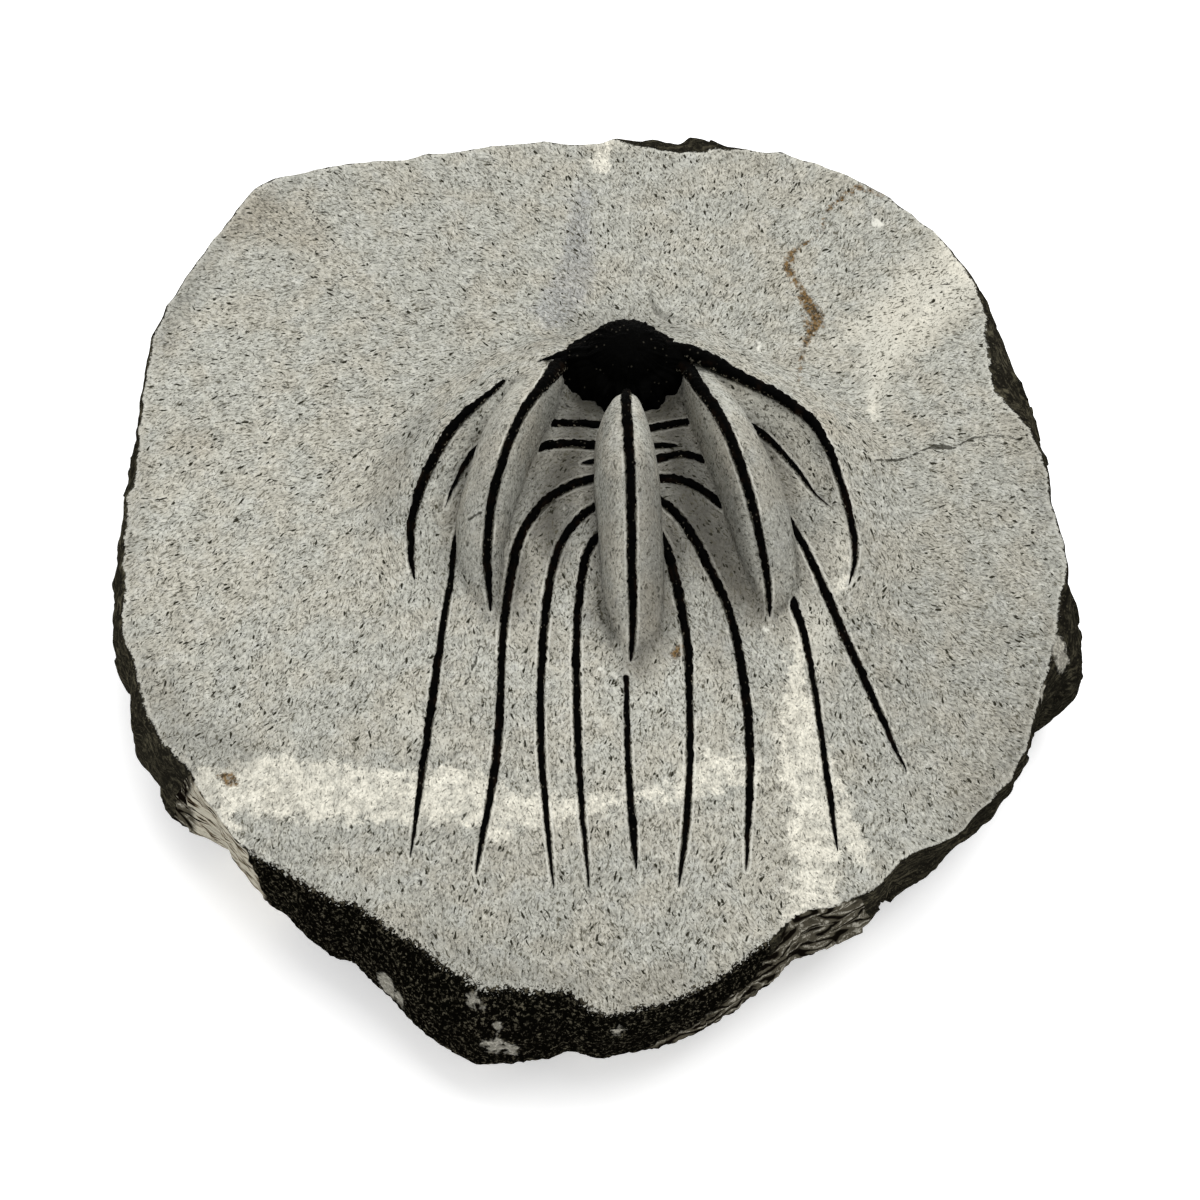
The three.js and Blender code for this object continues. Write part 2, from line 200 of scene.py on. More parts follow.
# crest of each upright fin and its half thickness to the left and right along it
fins = {
    "inner_left": {
        "crest": [
            (-4.9, 20, 26.2), (-6.2, 16, 29.2), (-8.6, 11.2, 30.8), (-10.5, 6.6, 30.2),
            (-12, 1.6, 28), (-12.6, -3.4, 24.8), (-12.2, -8.8, 21),
        ],
        "left": [3.4, 4.4, 4.7, 4.6, 4.4, 3.4, 2],
        "right": [0.8, 1.1, 1.5, 1.8, 1.7, 1.7, 1.4],
    },
    "middle": {
        "crest": [
            (2.4, 15.8, 26), (2.4, 13, 31.2), (2.3, 9.8, 33.8), (2.6, 4.8, 33.4), (2.8, -1.4, 31),
            (2.9, -7.4, 27), (3, -12, 23), (2.7, -15.2, 20.6),
        ],
        "left": [1, 1.9, 3.4, 3.9, 3.4, 3.2, 2.4, 1.4],
        "right": [1, 2.1, 3, 3.5, 3.7, 3.7, 3.6, 3],
    },
    "inner_right": {
        "crest": [
            (8.8, 19.6, 26.4), (10.2, 15.2, 29.2), (12.5, 10, 30.8), (14.6, 4.8, 29.4),
            (16.4, -1.2, 26.6), (17.5, -5.8, 23.2), (17.7, -9.3, 20.9),
        ],
        "left": [0.8, 1.2, 1.8, 2.2, 2.2, 2, 1.6],
        "right": [3, 4.2, 4.8, 5.1, 4.7, 4.3, 3],
    },
}
finShape = {
    "depth": 3, "squareness": 2.2, "roundness": 0.42, "blend": 0.5,
    "endRound": 0.07, "endWidth": 0.2,
}

# spines from root to tip: where each runs and how thick it is along the way
trunkSpines = {
    "trunk_spine_left_1": {
        "path": [(0.6, 13.6), (-6.2, 14.2), (-11, 12.8), (-14.6, 9.9), (-16.5, 6.3), (-17.4, 3.9)],
        "radius": [0.42, 0.4, 0.34, 0.34, 0.28, 0.1],
    },
    "trunk_spine_left_2": {
        "path": [
            (0.6, 10.8), (-7, 11.2), (-12.8, 7.2), (-15.9, 1.6), (-16.5, -3.5), (-17.2, -9),
            (-20.1, -37.2),
        ],
        "radius": [0.44, 0.42, 0.3, 0.28, 0.3, 0.4, 0.34, 0.22],
    },
    "trunk_spine_left_3": {"path": [(0.6, 9), (-2.5, 8.8)], "radius": [0.34, 0.3, 0.2]},
    "trunk_spine_left_4": {
        "path": [
            (0.6, 7), (-3.2, 6.3), (-6.6, 4.2), (-9, 0.6), (-10.2, -4.8), (-10.9, -12.1),
            (-11.3, -25), (-13.3, -39.1),
        ],
        "radius": [0.46, 0.44, 0.42, 0.34, 0.4, 0.38, 0.3],
    },
    "trunk_spine_left_5": {
        "path": [(0.6, 4.6), (-2.7, 2.2), (-4.9, -1.2), (-6.1, -6.8), (-6.8, -21.6), (-5.3, -40.7)],
        "radius": [0.4, 0.38, 0.38, 0.34, 0.34, 0.26, 0.2],
    },
    "trunk_spine_left_6": {
        "path": [(0.8, 1.9), (-1.7, -1.5), (-2.6, -6), (-3, -12), (-2.6, -28.6), (-1.6, -40.6)],
        "radius": [0.42, 0.4, 0.36, 0.34, 0.34, 0.24, 0.22],
    },
    "tail_spine_middle": {
        "path": [(2.3, -16.4), (2.5, -27), (3.2, -38.6)], "radius": [0.24, 0.27, 0.3, 0.38, 0.26],
    },
    "trunk_spine_right_6": {
        "path": [
            (5, 1.6), (6.6, -1.1), (7.5, -4.6), (8.4, -9), (8.9, -14), (8.7, -30.9), (7.6, -40.6),
        ],
        "radius": [0.46, 0.44, 0.4, 0.34, 0.3, 0.34, 0.26],
    },
    "trunk_spine_right_5": {
        "path": [(5, 5), (8.2, 2.3), (11.1, -3.1), (13.6, -9.6), (15.2, -22.7), (14.6, -38.8)],
        "radius": [0.46, 0.44, 0.4, 0.44, 0.42, 0.36, 0.24],
    },
    "trunk_spine_right_4": {
        "path": [
            (5, 6.9), (8.8, 6.6), (12.4, 4.4), (18, -1.8), (20.5, -8), (21.6, -12.5), (24.1, -36.4),
        ],
        "radius": [0.44, 0.42, 0.36, 0.42, 0.3, 0.26, 0.34, 0.28],
    },
    "trunk_spine_right_3": {
        "path": [
            (5, 9), (8.9, 10), (13, 8.6), (17.6, 5.8), (20.4, 2.2), (22.2, -1.6), (26, -12),
            (31.6, -27.2),
        ],
        "radius": [0.4, 0.38, 0.3, 0.32, 0.42, 0.4, 0.36, 0.24],
    },
    "trunk_spine_right_2": {"path": [(5, 10.9), (8, 11.1)], "radius": [0.34, 0.32, 0.22]},
    "trunk_spine_right_1": {
        "path": [
            (5, 13.2), (8.9, 14.2), (13.4, 14.3), (16.8, 13), (20.4, 9.6), (23.4, 5.1), (24.6, 3.8),
        ],
        "radius": [0.4, 0.38, 0.34, 0.4, 0.34, 0.24, 0.18, 0.08],
    },
}
crestSpines = {
    "middle_spine": {"root": [], "crest": fins["middle"]["crest"],
                     "radius": [0.44, 0.46, 0.48, 0.46, 0.42, 0.4, 0.32]},
    "inner_spine_left": {"root": [(-2.6, 21.6, 25.8)], "crest": fins["inner_left"]["crest"],
                         "radius": [0.9, 0.8, 0.5, 0.42, 0.42, 0.44, 0.46, 0.3]},
    "inner_spine_right": {"root": [(6.8, 20.8, 26)], "crest": fins["inner_right"]["crest"],
                          "radius": [0.8, 0.7, 0.58, 0.52, 0.46, 0.42, 0.4, 0.32]},
    "outer_spine_left": {"root": [], "crest": banks["left"]["crest"][1:],
                         "radius": [0.22, 0.44, 0.54, 0.5, 0.42, 0.36, 0.28]},
    "outer_spine_right": {"root": [(6, 22, 26.2)], "crest": banks["right"]["crest"],
                          "radius": [0.9, 0.86, 0.66, 0.54, 0.44, 0.36, 0.34, 0.24]},
}
spineShape = {
    "sunk": 0.1, "sides": 12, "spacing": 0.17, "fullness": 1.06, "flatTop": 0.86,
    "ragged": 0.34, "raggedSize": 0.42, "lumps": 0.14, "lumpSize": 1.5,
    "wander": 0.1, "wanderSize": 1.6,
    "trough": 0.2, "troughWidth": 1.3,
}


def faceHeight(x, y):
    spread = (x / block["halfWidth"]) ** 2 + (y / block["halfDepth"]) ** 2
    cx, cy = block["moundAt"]
    mound = np.exp(-((x - cx) ** 2 + (y - cy) ** 2) / block["moundSpread"] ** 2)
    crown = block["crown"] * np.maximum(0, 1 - spread)
    return block["rimHeight"] + crown + block["moundRise"] * mound


bankLines = {name: throughPoints(one["crest"], 50) for name, one in banks.items()}
finLines = {name: throughPoints(one["crest"], 60) for name, one in fins.items()}


def groundHeight(x, y):
    face = faceHeight(x, y)
    ground = face
    low = face - bankShape["toe"]
    for name, line in bankLines.items():
        distance, side, _, height = nearLine(line, x, y)
        width = np.where(side == banks[name]["slope"], bankShape["outer"], bankShape["inner"])
        share = np.minimum(1, distance / width)
        bank = low + (height - face + bankShape["toe"]) * (1 - share) ** bankShape["steepness"]
        ground = softMax(ground, bank, bankShape["blend"])
    return ground


def finHeight(name, x, y, ground):
    one = fins[name]
    distance, side, along, crest = nearLine(finLines[name], x, y)
    stops = np.linspace(0, 1, len(one["left"]))
    right = np.interp(along, stops, one["right"])
    width = np.where(side > 0, right, np.interp(along, stops, one["left"]))
    fromEnd = np.minimum(along, 1 - along) / finShape["endRound"]
    width = width * np.sqrt(np.clip(fromEnd, finShape["endWidth"], 1))
    share = np.minimum(1, distance / width)
    low = ground - finShape["depth"]
    return low + (crest - low) * (1 - share ** finShape["squareness"]) ** finShape["roundness"]


def stoneHeight(x, y):
    ground = groundHeight(x, y)
    height = ground
    for name in fins:
        height = softMax(height, finHeight(name, x, y, ground), finShape["blend"])
    return height


# centre line of every spine, riding on the stone
spineLines = {}
spineSizes = {}
for name, one in trunkSpines.items():
    plan = evenly(throughPoints([(x, y, 0) for x, y in one["path"]], 80), 60)
    height = groundHeight(plan[:, 0], plan[:, 1]) - spineShape["sunk"]
    spineLines[name] = np.stack([plan[:, 0], plan[:, 1], height], -1)
    spineSizes[name] = one["radius"]
for name, one in crestSpines.items():
    spineLines[name] = evenly(throughPoints(one["root"] + one["crest"], 80), 60)
    spineLines[name][:, 2] -= spineShape["sunk"]
    spineSizes[name] = one["radius"]


def spineRadius(name, along):
    sizes = spineSizes[name]
    ends = np.sqrt(np.clip(1 - along ** 9, 0.03, 1))
    return np.interp(along, np.linspace(0, 1, len(sizes)), sizes) * ends * spineShape["fullness"]


# the grid used to find hollows: its spacing and half width, and how far round a place it averages
hollows = {"spacing": 0.5, "half": 64, "reach": 24, "softness": 4.0}


def recessDepth(x, y):
    # how far a place lies below the stone around it, from heights laid out on an even grid
    spacing, half, reach = hollows["spacing"], hollows["half"], hollows["reach"]
    count = int(2 * half / spacing) + 1
    line = np.linspace(-half, half, count)
    gridX, gridY = np.meshgrid(line, line)
    height = stoneHeight(gridX, gridY)
    kernel = np.exp(-(np.arange(-reach, reach + 1) * spacing / hollows["softness"]) ** 2)
    kernel /= kernel.sum()

    def soften(row):
        return np.convolve(np.pad(row, reach, "edge"), kernel, "valid")

    for axis in (0, 1):
        height = np.apply_along_axis(soften, axis, height)
    i = np.clip((x + half) / spacing, 0, count - 1.001)
    j = np.clip((y + half) / spacing, 0, count - 1.001)
    a, b = i.astype(int), j.astype(int)
    u, v = i - a, j - b
    around = ((height[b, a] * (1 - u) + height[b, a + 1] * u) * (1 - v)
              + (height[b + 1, a] * (1 - u) + height[b + 1, a + 1] * u) * v)
    return around - stoneHeight(x, y)


# outline of the block by direction from the middle
outline = throughPoints([rim[-1]] + rim + [rim[0], rim[1]], 1600)
outlineAngle = np.unwrap(np.arctan2(outline[:, 1], outline[:, 0]))


def aroundRim(angle):
    # how far out the rim is, and how far the side bulges, in each direction
    turned = outlineAngle[0] + np.mod(angle - outlineAngle[0], 2 * np.pi)
    reach = np.interp(turned, outlineAngle, np.hypot(outline[:, 0], outline[:, 1]))
    bulge = np.interp(turned, outlineAngle, outline[:, 2])
    return reach, bulge


def discPoint(u, v):
    # a square sheet laid onto the block's outline without pinching its corners
    dx = u * np.sqrt(1 - v * v / 2)
    dy = v * np.sqrt(1 - u * u / 2)
    radius = np.hypot(dx, dy)
    angle = np.arctan2(dy, dx)
    reach, _ = aroundRim(angle)
    ring = np.stack([np.cos(angle) * 40, np.sin(angle) * 40, np.zeros_like(angle)], -1)
    nick = clouds(ring, 5, 11, 4) * block["nickDepth"]
    nick = nick - np.abs(cloud(ring, 2.6, 19)) * block["notchDepth"]
    reach = reach + nick * radius ** 10  # only at the very edge
    return np.cos(angle) * reach * radius, np.sin(angle) * reach * radius, radius, reach


def sectorWeight(angle, start, end, fade):
    # 1 between two directions in degrees, and 0 outside them
    middle = math.radians((start + end) / 2)
    half = math.radians((end - start) / 2)
    off = np.abs(np.mod(angle - middle + np.pi, 2 * np.pi) - np.pi)
    return 1 - smooth(half - math.radians(fade), half + math.radians(fade), off)


def faceGrid():
    # rows over the prepared face, with points closer together where it is steep or over the fossil
    columns, rows = block["columns"], block["rows"]
    v = np.linspace(-1, 1, rows + 1)
    v = v - block["crowding"] * np.sin(np.pi * v) * (1 - 0.2 * v)
    gridU, gridV = np.meshgrid(np.linspace(-1, 1, 2001), v)
    fine = discPoint(gridU, gridV)
    x, y = fine[:2]
    z = stoneHeight(x, y)
    busyX, busyY = block["busyAt"]
    away = (x - busyX) ** 2 + (y - busyY) ** 2
    busy = 1 + block["busy"] * np.exp(-away / block["busySpread"] ** 2)
    step = np.sqrt(np.diff(x) ** 2 + np.diff(y) ** 2 + (0.8 * np.diff(z)) ** 2)
    step = step * (busy[:, 1:] + busy[:, :-1]) / 2
    run = np.concatenate([np.zeros((rows + 1, 1)), np.cumsum(step, 1)], 1)
    stops = [np.linspace(0, one[-1], columns + 1) for one in run]
    spread = []
    for values in fine:
        spread.append(np.array([np.interp(stops[j], run[j], values[j]) for j in range(rows + 1)]))
    return spread


# the preparer's strokes: where they fan out from, how they turn, and how near a spine they
# follow it
strokeFlow = {
    "from": (2.7, 14), "turn": 14, "swing": 8, "swingWidth": 18, "share": 0.16,
    "spineReach": 4.5, "shortSpine": 8,
}


def spineGapAndFlow(x, y, z):
    # distance to the nearest spine's surface, and the strokes' direction as a doubled angle
    gap = np.full(x.shape, 9.0)
    flowX = np.zeros_like(x)
    flowY = np.zeros_like(x)
    for name, line in spineLines.items():
        distance, _, along, height = nearLine(line, x, y)
        gap = np.minimum(gap, np.hypot(distance, z - height) - spineRadius(name, along))
        steps = np.diff(line[:, :2], axis=0)
        turn = 2 * np.arctan2(steps[:, 1], steps[:, 0])
        spot = np.clip((along * (len(line) - 1)).astype(int), 0, len(line) - 2)
        longEnough = np.linalg.norm(line[-1] - line[0]) > strokeFlow["shortSpine"]
        pull = np.exp(-(distance / strokeFlow["spineReach"]) ** 2) * longEnough
        flowX += pull * np.cos(turn)[spot]
        flowY += pull * np.sin(turn)[spot]
    fromX, fromY = strokeFlow["from"]
    swing = strokeFlow["swing"] * np.tanh((x - 2) / strokeFlow["swingWidth"])
    away = np.arctan2(y - fromY, x - fromX) + np.radians(strokeFlow["turn"] - swing)
    flowX += strokeFlow["share"] * np.cos(2 * away)
    flowY += strokeFlow["share"] * np.sin(2 * away)
    size = np.hypot(flowX, flowY) + 1e-9
    return gap, flowX / size, flowY / size


# the rough side: chips all round, thin ledges in the layered sectors and grains in the crusty one
blockSide = {
    "rows": 22, "crowding": 1.15,
    "stops": [0, 0.03, 0.22, 0.53, 0.84, 0.97, 1],  # share of the way down
    "bulge": [0, 0.25, 0.75, 1, 1, 1, 1],  # how much of the rim's bulge shows there
    "lean": [0, 0.2, 0.2, -0.2, -2.6, -4.3, -5.5],  # how far the side stands out there
    "chipSize": 5.5, "chipDepth": 0.5, "lumpSize": 2.4, "lumpDepth": 0.22,
    "layered": [(-84, -54, 5), (-150, -134, 4)],
    "ledgeHeight": 1.25, "ledgeDepth": 0.55, "ledgeSize": 9, "ledgeWander": 1.1,
    "crusty": (-142, -62, 4), "grainSize": 0.6, "grainDepth": 0.28, "crustyChips": 0.4,
    "footShare": 0.55,
}


def sideRings(edge):
    # rings of points from the rim down to the foot, and how far down the side each point is
    angle = np.arctan2(edge[:, 1], edge[:, 0])
    _, bulge = aroundRim(angle)
    ahead = np.roll(edge, -6, 0) - np.roll(edge, 6, 0)
    outward = np.stack([ahead[:, 1], -ahead[:, 0]], -1)
    outward /= np.linalg.norm(outward, axis=1)[:, None]
    layered = np.max([sectorWeight(angle, *sector) for sector in blockSide["layered"]], axis=0)
    crusty = sectorWeight(angle, *blockSide["crusty"])
    rings = []
    travel = []
    walked = np.zeros(len(edge))
    before = edge
    for share in np.linspace(0, 1, blockSide["rows"] + 1)[1:] ** blockSide["crowding"]:
        height = edge[:, 2] * (1 - share)
        out = np.interp(share, blockSide["stops"], blockSide["bulge"]) * bulge
        out = out + np.interp(share, blockSide["stops"], blockSide["lean"])
        ring = np.column_stack([edge[:, :2] + outward * out[:, None], height])
        body = smooth(0, 0.12, share) * (1 - smooth(0.9, 1, share))
        chips = chipFacets(ring * [1, 1, 1.5], blockSide["chipSize"], 5) * blockSide["chipDepth"]
        chips = chips + clouds(ring, blockSide["lumpSize"], 23, 3) * blockSide["lumpDepth"]
        level = height + clouds(ring, blockSide["ledgeSize"], 41, 2) * blockSide["ledgeWander"]
        ledge = np.abs(np.mod(level / blockSide["ledgeHeight"], 1) - 0.5) * 2 - 0.5
        ledge = ledge * blockSide["ledgeDepth"]
        grains = np.abs(cloud(ring, blockSide["grainSize"], 51)) * blockSide["grainDepth"] * crusty
        calmer = 1 - (1 - blockSide["crustyChips"]) * crusty
        push = body * (chips * calmer + ledge * layered + grains)
        ring[:, :2] += outward * push[:, None]
        walked = walked + np.linalg.norm(ring - before, axis=1)
        before = ring
        rings.append(ring)
        travel.append(walked)
    rings[-1][:, 2] = 0
    return rings, travel


def rockMesh():
    columns, rows = block["columns"], block["rows"]
    x, y, radius, reach = faceGrid()
    z = stoneHeight(x, y)
    # how far each place lies below the stone around it; the shader turns this into painted shade
    recessShade = recessDepth(x, y)
    upright = smooth(0.3, 2, z - groundHeight(x, y))
    gap, flowX, flowY = spineGapAndFlow(x, y, z)
    z = z - spineShape["trough"] * (1 - smooth(0.1, spineShape["troughWidth"], gap))

    # broad unevenness, pushed out along the surface's own direction
    place = np.stack([x, y, z], -1)
    normal = np.cross(np.gradient(place, axis=1), np.gradient(place, axis=0))
    normal /= np.linalg.norm(normal, axis=-1, keepdims=True) + 1e-12
    rough = clouds(place, 7, 3, 3) * block["waviness"]
    rough = rough + clouds(place, 1.1, 7, 2) * block["toolMarks"]
    rough = rough + cloud(place, 0.55, 31) * block["fineMarks"]
    rough = rough * smooth(-0.2, 0.8, gap)
    place = place + normal * rough[..., None]
    inside = (radius - 1) * reach  # distance in from the rim, negative

    # the loop of points round the rim, and the side below it
    loop = ([(0, i) for i in range(columns)] + [(j, columns) for j in range(rows)]
            + [(rows, i) for i in range(columns, 0, -1)] + [(j, 0) for j in range(rows, 0, -1)])
    loop = np.array(loop)
    rings, travel = sideRings(place[loop[:, 0], loop[:, 1]])

    # all points, faces and masks, from the face down to one point in the middle of the foot
    count = (rows + 1) * (columns + 1)
    number = np.arange(count).reshape(rows + 1, columns + 1)
    corners = [number[:-1, :-1], number[:-1, 1:], number[1:, 1:], number[1:, :-1]]
    quads = [np.stack(corners, -1).reshape(-1, 4)]
    upper = number[loop[:, 0], loop[:, 1]]
    points = [place.reshape(-1, 3)]
    base = count
    for ring in rings + [rings[-1] * [blockSide["footShare"], blockSide["footShare"], 0]]:
        lower = base + np.arange(len(loop))
        quads.append(np.stack([upper, lower, np.roll(lower, -1), np.roll(upper, -1)], -1))
        points.append(ring)
        upper = lower
        base += len(loop)
    points.append(np.zeros((1, 3)))
    fan = [(int(a), base, int(b)) for a, b in zip(upper, np.roll(upper, -1))]
    faces = np.concatenate(quads).tolist() + fan
    points = np.concatenate(points)

    extra = len(points) - count
    turn = np.arctan2(points[:, 1], points[:, 0])
    masks = {
        "edge": np.concatenate([inside.ravel(), *travel, np.full(len(loop) + 1, 30.0)]),
        "spineGap": np.concatenate([gap.ravel(), np.full(extra, 9.0)]),
        "recessShade": np.concatenate([recessShade.ravel(), np.zeros(extra)]),
        "upright": np.concatenate([upright.ravel(), np.zeros(extra)]),
        "flowX": np.concatenate([flowX.ravel(), np.cos(2 * turn[count:])]),
        "flowY": np.concatenate([flowY.ravel(), np.sin(2 * turn[count:])]),
    }
    return points, faces, masks, turn


# marks on the stone, as lines of (x, y, half width). Some are painted shade or painted light rather
# than stains in the stone; each says so.
marks = {
    "calcite": [
        [(-44, -29, 2), (-36, -29, 3.2), (-28.5, -29.6, 3.3), (-21.5, -30.5, 2.8), (-16, -30, 3.2),
         (-11, -31.5, 2.4), (-5.5, -32, 1.6), (0.5, -31, 0.8), (7, -30, 0.9), (10, -28, 2.1),
         (14.5, -27.5, 1.6)],
        [(40, 40.4, 1.4), (41, 37, 1)],
        [(41, 36, 0.2), (38, 33, 0), (34, 28.5, 0), (31.6, 25, -0.3)],
        [(30, 18.4, 0.2), (29.8, 16.4, 0)], [(-41, -30, 1.2), (-38.4, -34, 0.8)],
        [(-12.5, -33.5, 1), (-10.5, -34.8, 0.8)], [(26.4, 1, 0), (26.2, -3, 0.5), (24.5, -6, 0.6)],
        [(21, -10.5, 0.8), (20.4, -15.5, 1), (20.4, -21.5, 2), (21.4, -27.5, 2.8), (22, -33, 2.8),
         (21.8, -38.5, 2.5), (21.2, -44.5, 2.2)],
        [(23, -30.5, 2.2), (26.5, -36.5, 1.2)], [(0.6, 57, 1.3), (-0.4, 52.4, 0.9)],
    ],
    "rust": [
        [(32.4, 48.4, 0.3), (29.5, 49, 0.3), (26, 46, 0.1), (24.5, 42, 0), (22, 40, 0.2),
         (21, 37.5, 0.5), (22, 35, 0.3), (23, 32.5, 0.7), (24, 30, 0.8), (23, 27.5, 0.4),
         (22, 23.5, 0), (21.5, 19.5, 0)],
        [(22.4, 31, 0.1), (23.2, 28.6, 0.3)], [(-39.7, -27.8, 0.7), (-39.1, -28.2, 0.7)],
        [(7.7, -13.7, 0.5), (8.1, -13, 0.4)],
    ],
    "brown": [
        [(-41, 45.5, 4), (-35, 43, 3)], [(-46.5, 14, 2.4), (-45, 13.5, 2)],
        [(5.5, -8, 1), (5, -11, 1)], [(24.5, 14, 1), (25, 12.5, 0.9)],
        [(14.2, -4.6, 0.8), (14.2, -6.2, 1.4)], [(33, 16.5, 1), (35.5, 15.5, 1.2)],
        [(13.4, 5.4, 0.4), (12, 9.4, 0.6)], [(-7.4, 15, 0.4), (-9.6, 9.6, 0.8), (-12, 2.4, 0.4)],
        [(1.4, 8.6, 0.4), (3.8, 3, 0.4)],
    ],
    # painted shade on the ground between the fins, partly darker stone left there
    "hollowShade": [
        [(-2.2, 17, 3), (-3.4, 11, 2.4), (-5.6, 5, 2.6), (-5.8, 0, 2), (-5.2, -3.6, 0.6)],
        [(6.8, 16.5, 2.8), (7.6, 11, 2.6), (9, 5, 2.9), (11.8, -1, 2.9), (14, -5, 2.2),
         (16.6, -8.6, 1.4)],
        [(4.4, 3, 1.4), (4.8, -3, 2.2), (5.2, -9, 1.8), (3.6, -14.6, 1.4)],
        [(-0.8, -8, 0.4), (1, -12, 0.8)], [(7.6, 3, 0.8), (7.5, -1, 1.6), (7.2, -5, 0.6)],
        [(-9.4, -0.5, 0.6), (-9.6, -4.5, 1.4), (-10.6, -8.4, 1)],
    ],
    # painted shade beside the fins and banks, round the head and along the edge
    "paintedShade": [
        [(-19.4, 15.5, 1), (-22.6, 10, 1.6), (-24, 3, 0.8)],
        [(-8, 24, 0.4), (-4, 27, 1), (3, 29, 1.2), (9, 27, 1)],
        [(16.6, 10, 1), (18, 4, 1.6), (19.6, -2, 1.6), (19.2, -7, 0.8)],
        [(0.6, 2, 0.4), (0.2, -3, 0.2), (-0.6, -9, 0.8)],
        [(-12, 9.5, 0.8), (-13.2, 4, 1), (-13.2, -1, 1)],
        [(6.4, 4, 0.8), (7.2, 0, 2), (7.6, -5, 2.4), (7.4, -12, 1.2)],
        [(4.8, 2, 0.8), (5.2, -4, 1.2), (5, -9, 1)],
        [(-0.4, 14.8, 0.8), (2.4, 14.2, 0.8), (5.4, 14.8, 0.8)],
        [(-6.4, -8, 0.6), (-6.4, -13, 1.2)], [(-12.2, 2, 1), (-12.2, -2, 1.8), (-12.4, -7.8, 2)],
        [(12.2, -6, 1), (12.3, -12.5, 2), (12.4, -16, 0)],
        [(-50, -14, 1), (-48, -19.5, 1.6), (-45.4, -24.6, 1.6), (-42, -29.4, 1)],
        [(15.4, 6, 1), (15.6, 2, 1.6)], [(21.4, -1, 0.8), (21.8, -4.4, 1.2)],
        [(-17.4, -2, 0.6), (-17.6, -5.4, 0.6)],
        [(49, -8, 0.6), (47, -16, 1), (45, -22.4, 1.4), (42, -28, 1.4), (37.4, -33.2, 1.2)],
        [(2, -52.5, 0.8), (8, -50.6, 1.2)], [(-20, -44.5, 0), (-10, -49.8, 1), (-2, -51.5, 0.6)],
        [(-36, 50.6, 0), (-45, 40, 0.8), (-48.4, 34, 1.8), (-51, 26, 1.2)],
        [(-47, -17, 1.5), (-45, -22, 2.4), (-38, -25, 1.4)],
        [(46.8, 20, 1), (48.4, 12, 1.2), (48.8, 4, 0.6)],
        [(-51.4, 14, 0.6), (-51.6, 4, 0.6), (-51.6, -3, 0.6)],
    ],
    # painted shadow under the head's lower edge and in the undercuts at the fins' feet
    "creaseShadow": [
        [(-0.9, -5.4, 0.1), (-0.5, -8.1, 0.25), (-0.1, -9.8, 0.3), (0.5, -11.6, 0.2),
         (0.9, -13.1, 0.1)],
        [(20.4, -0.4, 0.1), (20.8, -3.4, 0.25), (20.8, -5.3, 0.3), (20, -7.1, 0.3),
         (18.6, -8.6, 0.2), (17.8, -9.3, 0.1)],
        [(-10.2, 1.6, 0.1), (-9.2, 0.4, 0.1), (-7.9, 0.9, 0.05)],
        [(-3.6, 17.6, 0.3), (-1.6, 15.8, 0.6), (0.2, 14.8, 0.5)],
        [(5, 14.8, 0.5), (6.8, 15.8, 0.6), (8.4, 17.6, 0.3)],
    ],
    # painted light on the flanks of the fins and banks, and bleached stone elsewhere
    "bleachedAndLit": [
        [(-9.8, 15.5, 0), (-11.6, 13, 0.3), (-13.8, 8, 0.2), (-14.6, 3, -0.8)],
        [(13, 17, -0.4), (18, 14.6, 0.4), (21.6, 11, 0.4), (22.6, 6, -0.4)],
        [(9.4, 15.5, -0.6), (11.2, 11, 0), (13, 6, -0.6)], [(22.6, -9.6, 1.6), (22.8, -15, 0.6)],
        [(-21, -21, 1), (-17, -24, 0.6)], [(26.2, 3, 0.2), (25.9, 0, 0.6), (25, -3, 0)],
        [(41.4, 38.6, 4.4), (37, 33.6, 4.2), (33, 29, 4), (31.2, 25, 2.2), (30.4, 20, 1.2),
         (30, 16.5, 0.2)],
        [(31, 29.6, 2.4), (28, 28, 1), (26, 26.8, 0)], [(34, 7, -1), (40, 3, -0.8), (44, -1, -1.2)],
    ],
    "stain": [[(-2.5, 48, 0.9), (-3, 41, 1.4), (-3.4, 36, 2.2), (-5.4, 30.5, 2.4)]],
    "crack": [
        [(-7.3, 2.2, 0), (-6.5, 3.4, 0), (-5.3, 4.4, 0)],
        [(-15.4, 0.2, 0), (-14.4, 0, 0), (-13, 0.4, 0)],
        [(-13.3, -12, 0), (-13.8, -14.6, 0), (-14.8, -17.4, 0)],
        [(29.8, 10.3, 0), (33.4, 11.4, 0), (36.6, 13, 0), (38.4, 12.8, 0), (41.2, 14.4, 0),
         (45, 14.6, 0), (47.4, 13.4, 0)],
        [(36.4, 13, 0.2), (38.2, 12.9, 0.16)],
        [(-35.4, 48.9, 0), (-32.9, 43.9, 0), (-29.8, 38.7, 0)],
        [(-0.7, -7.5, 0), (-0.5, -9.3, 0), (0.1, -10.6, 0), (0.7, -11.4, 0)],
    ],
    "gouge": [[(5.2, 32.9, 0.25), (5.8, 30.9, 0.5), (7, 29.7, 0.5), (8.1, 29.8, 0.2)]],
    "bruise": [
        [(2.6, 45.6, 0.3), (2.6, 45.2, 0.2)], [(31.5, 44.3, 0.5), (32, 44, 0.4)],
        [(17.3, 26.5, 0.1), (17.3, 25, 0.3)], [(-4.6, 3.4, 0), (-3.8, 3, 0)],
        [(-0.5, -15.4, 0.2), (1.5, -16.6, 0.1)], [(17.2, -10.6, 0.2), (18, -10.4, 0.1)],
    ],
}


def markField(lines, x, y, reachOut=6.0):
    # how far inside the mark a place is, negative outside it
    field = np.full(x.shape, -reachOut)
    for line in lines:
        points = np.array(line, float)
        points = throughPoints(points, 6 * len(points)) if len(points) > 2 else points
        near = (x > points[:, 0].min() - 12) & (x < points[:, 0].max() + 12)
        near &= (y > points[:, 1].min() - 12) & (y < points[:, 1].max() + 12)
        distance, _, _, half = nearLine(points, x[near], y[near])
        field[near] = np.maximum(field[near], half - distance)
    return field


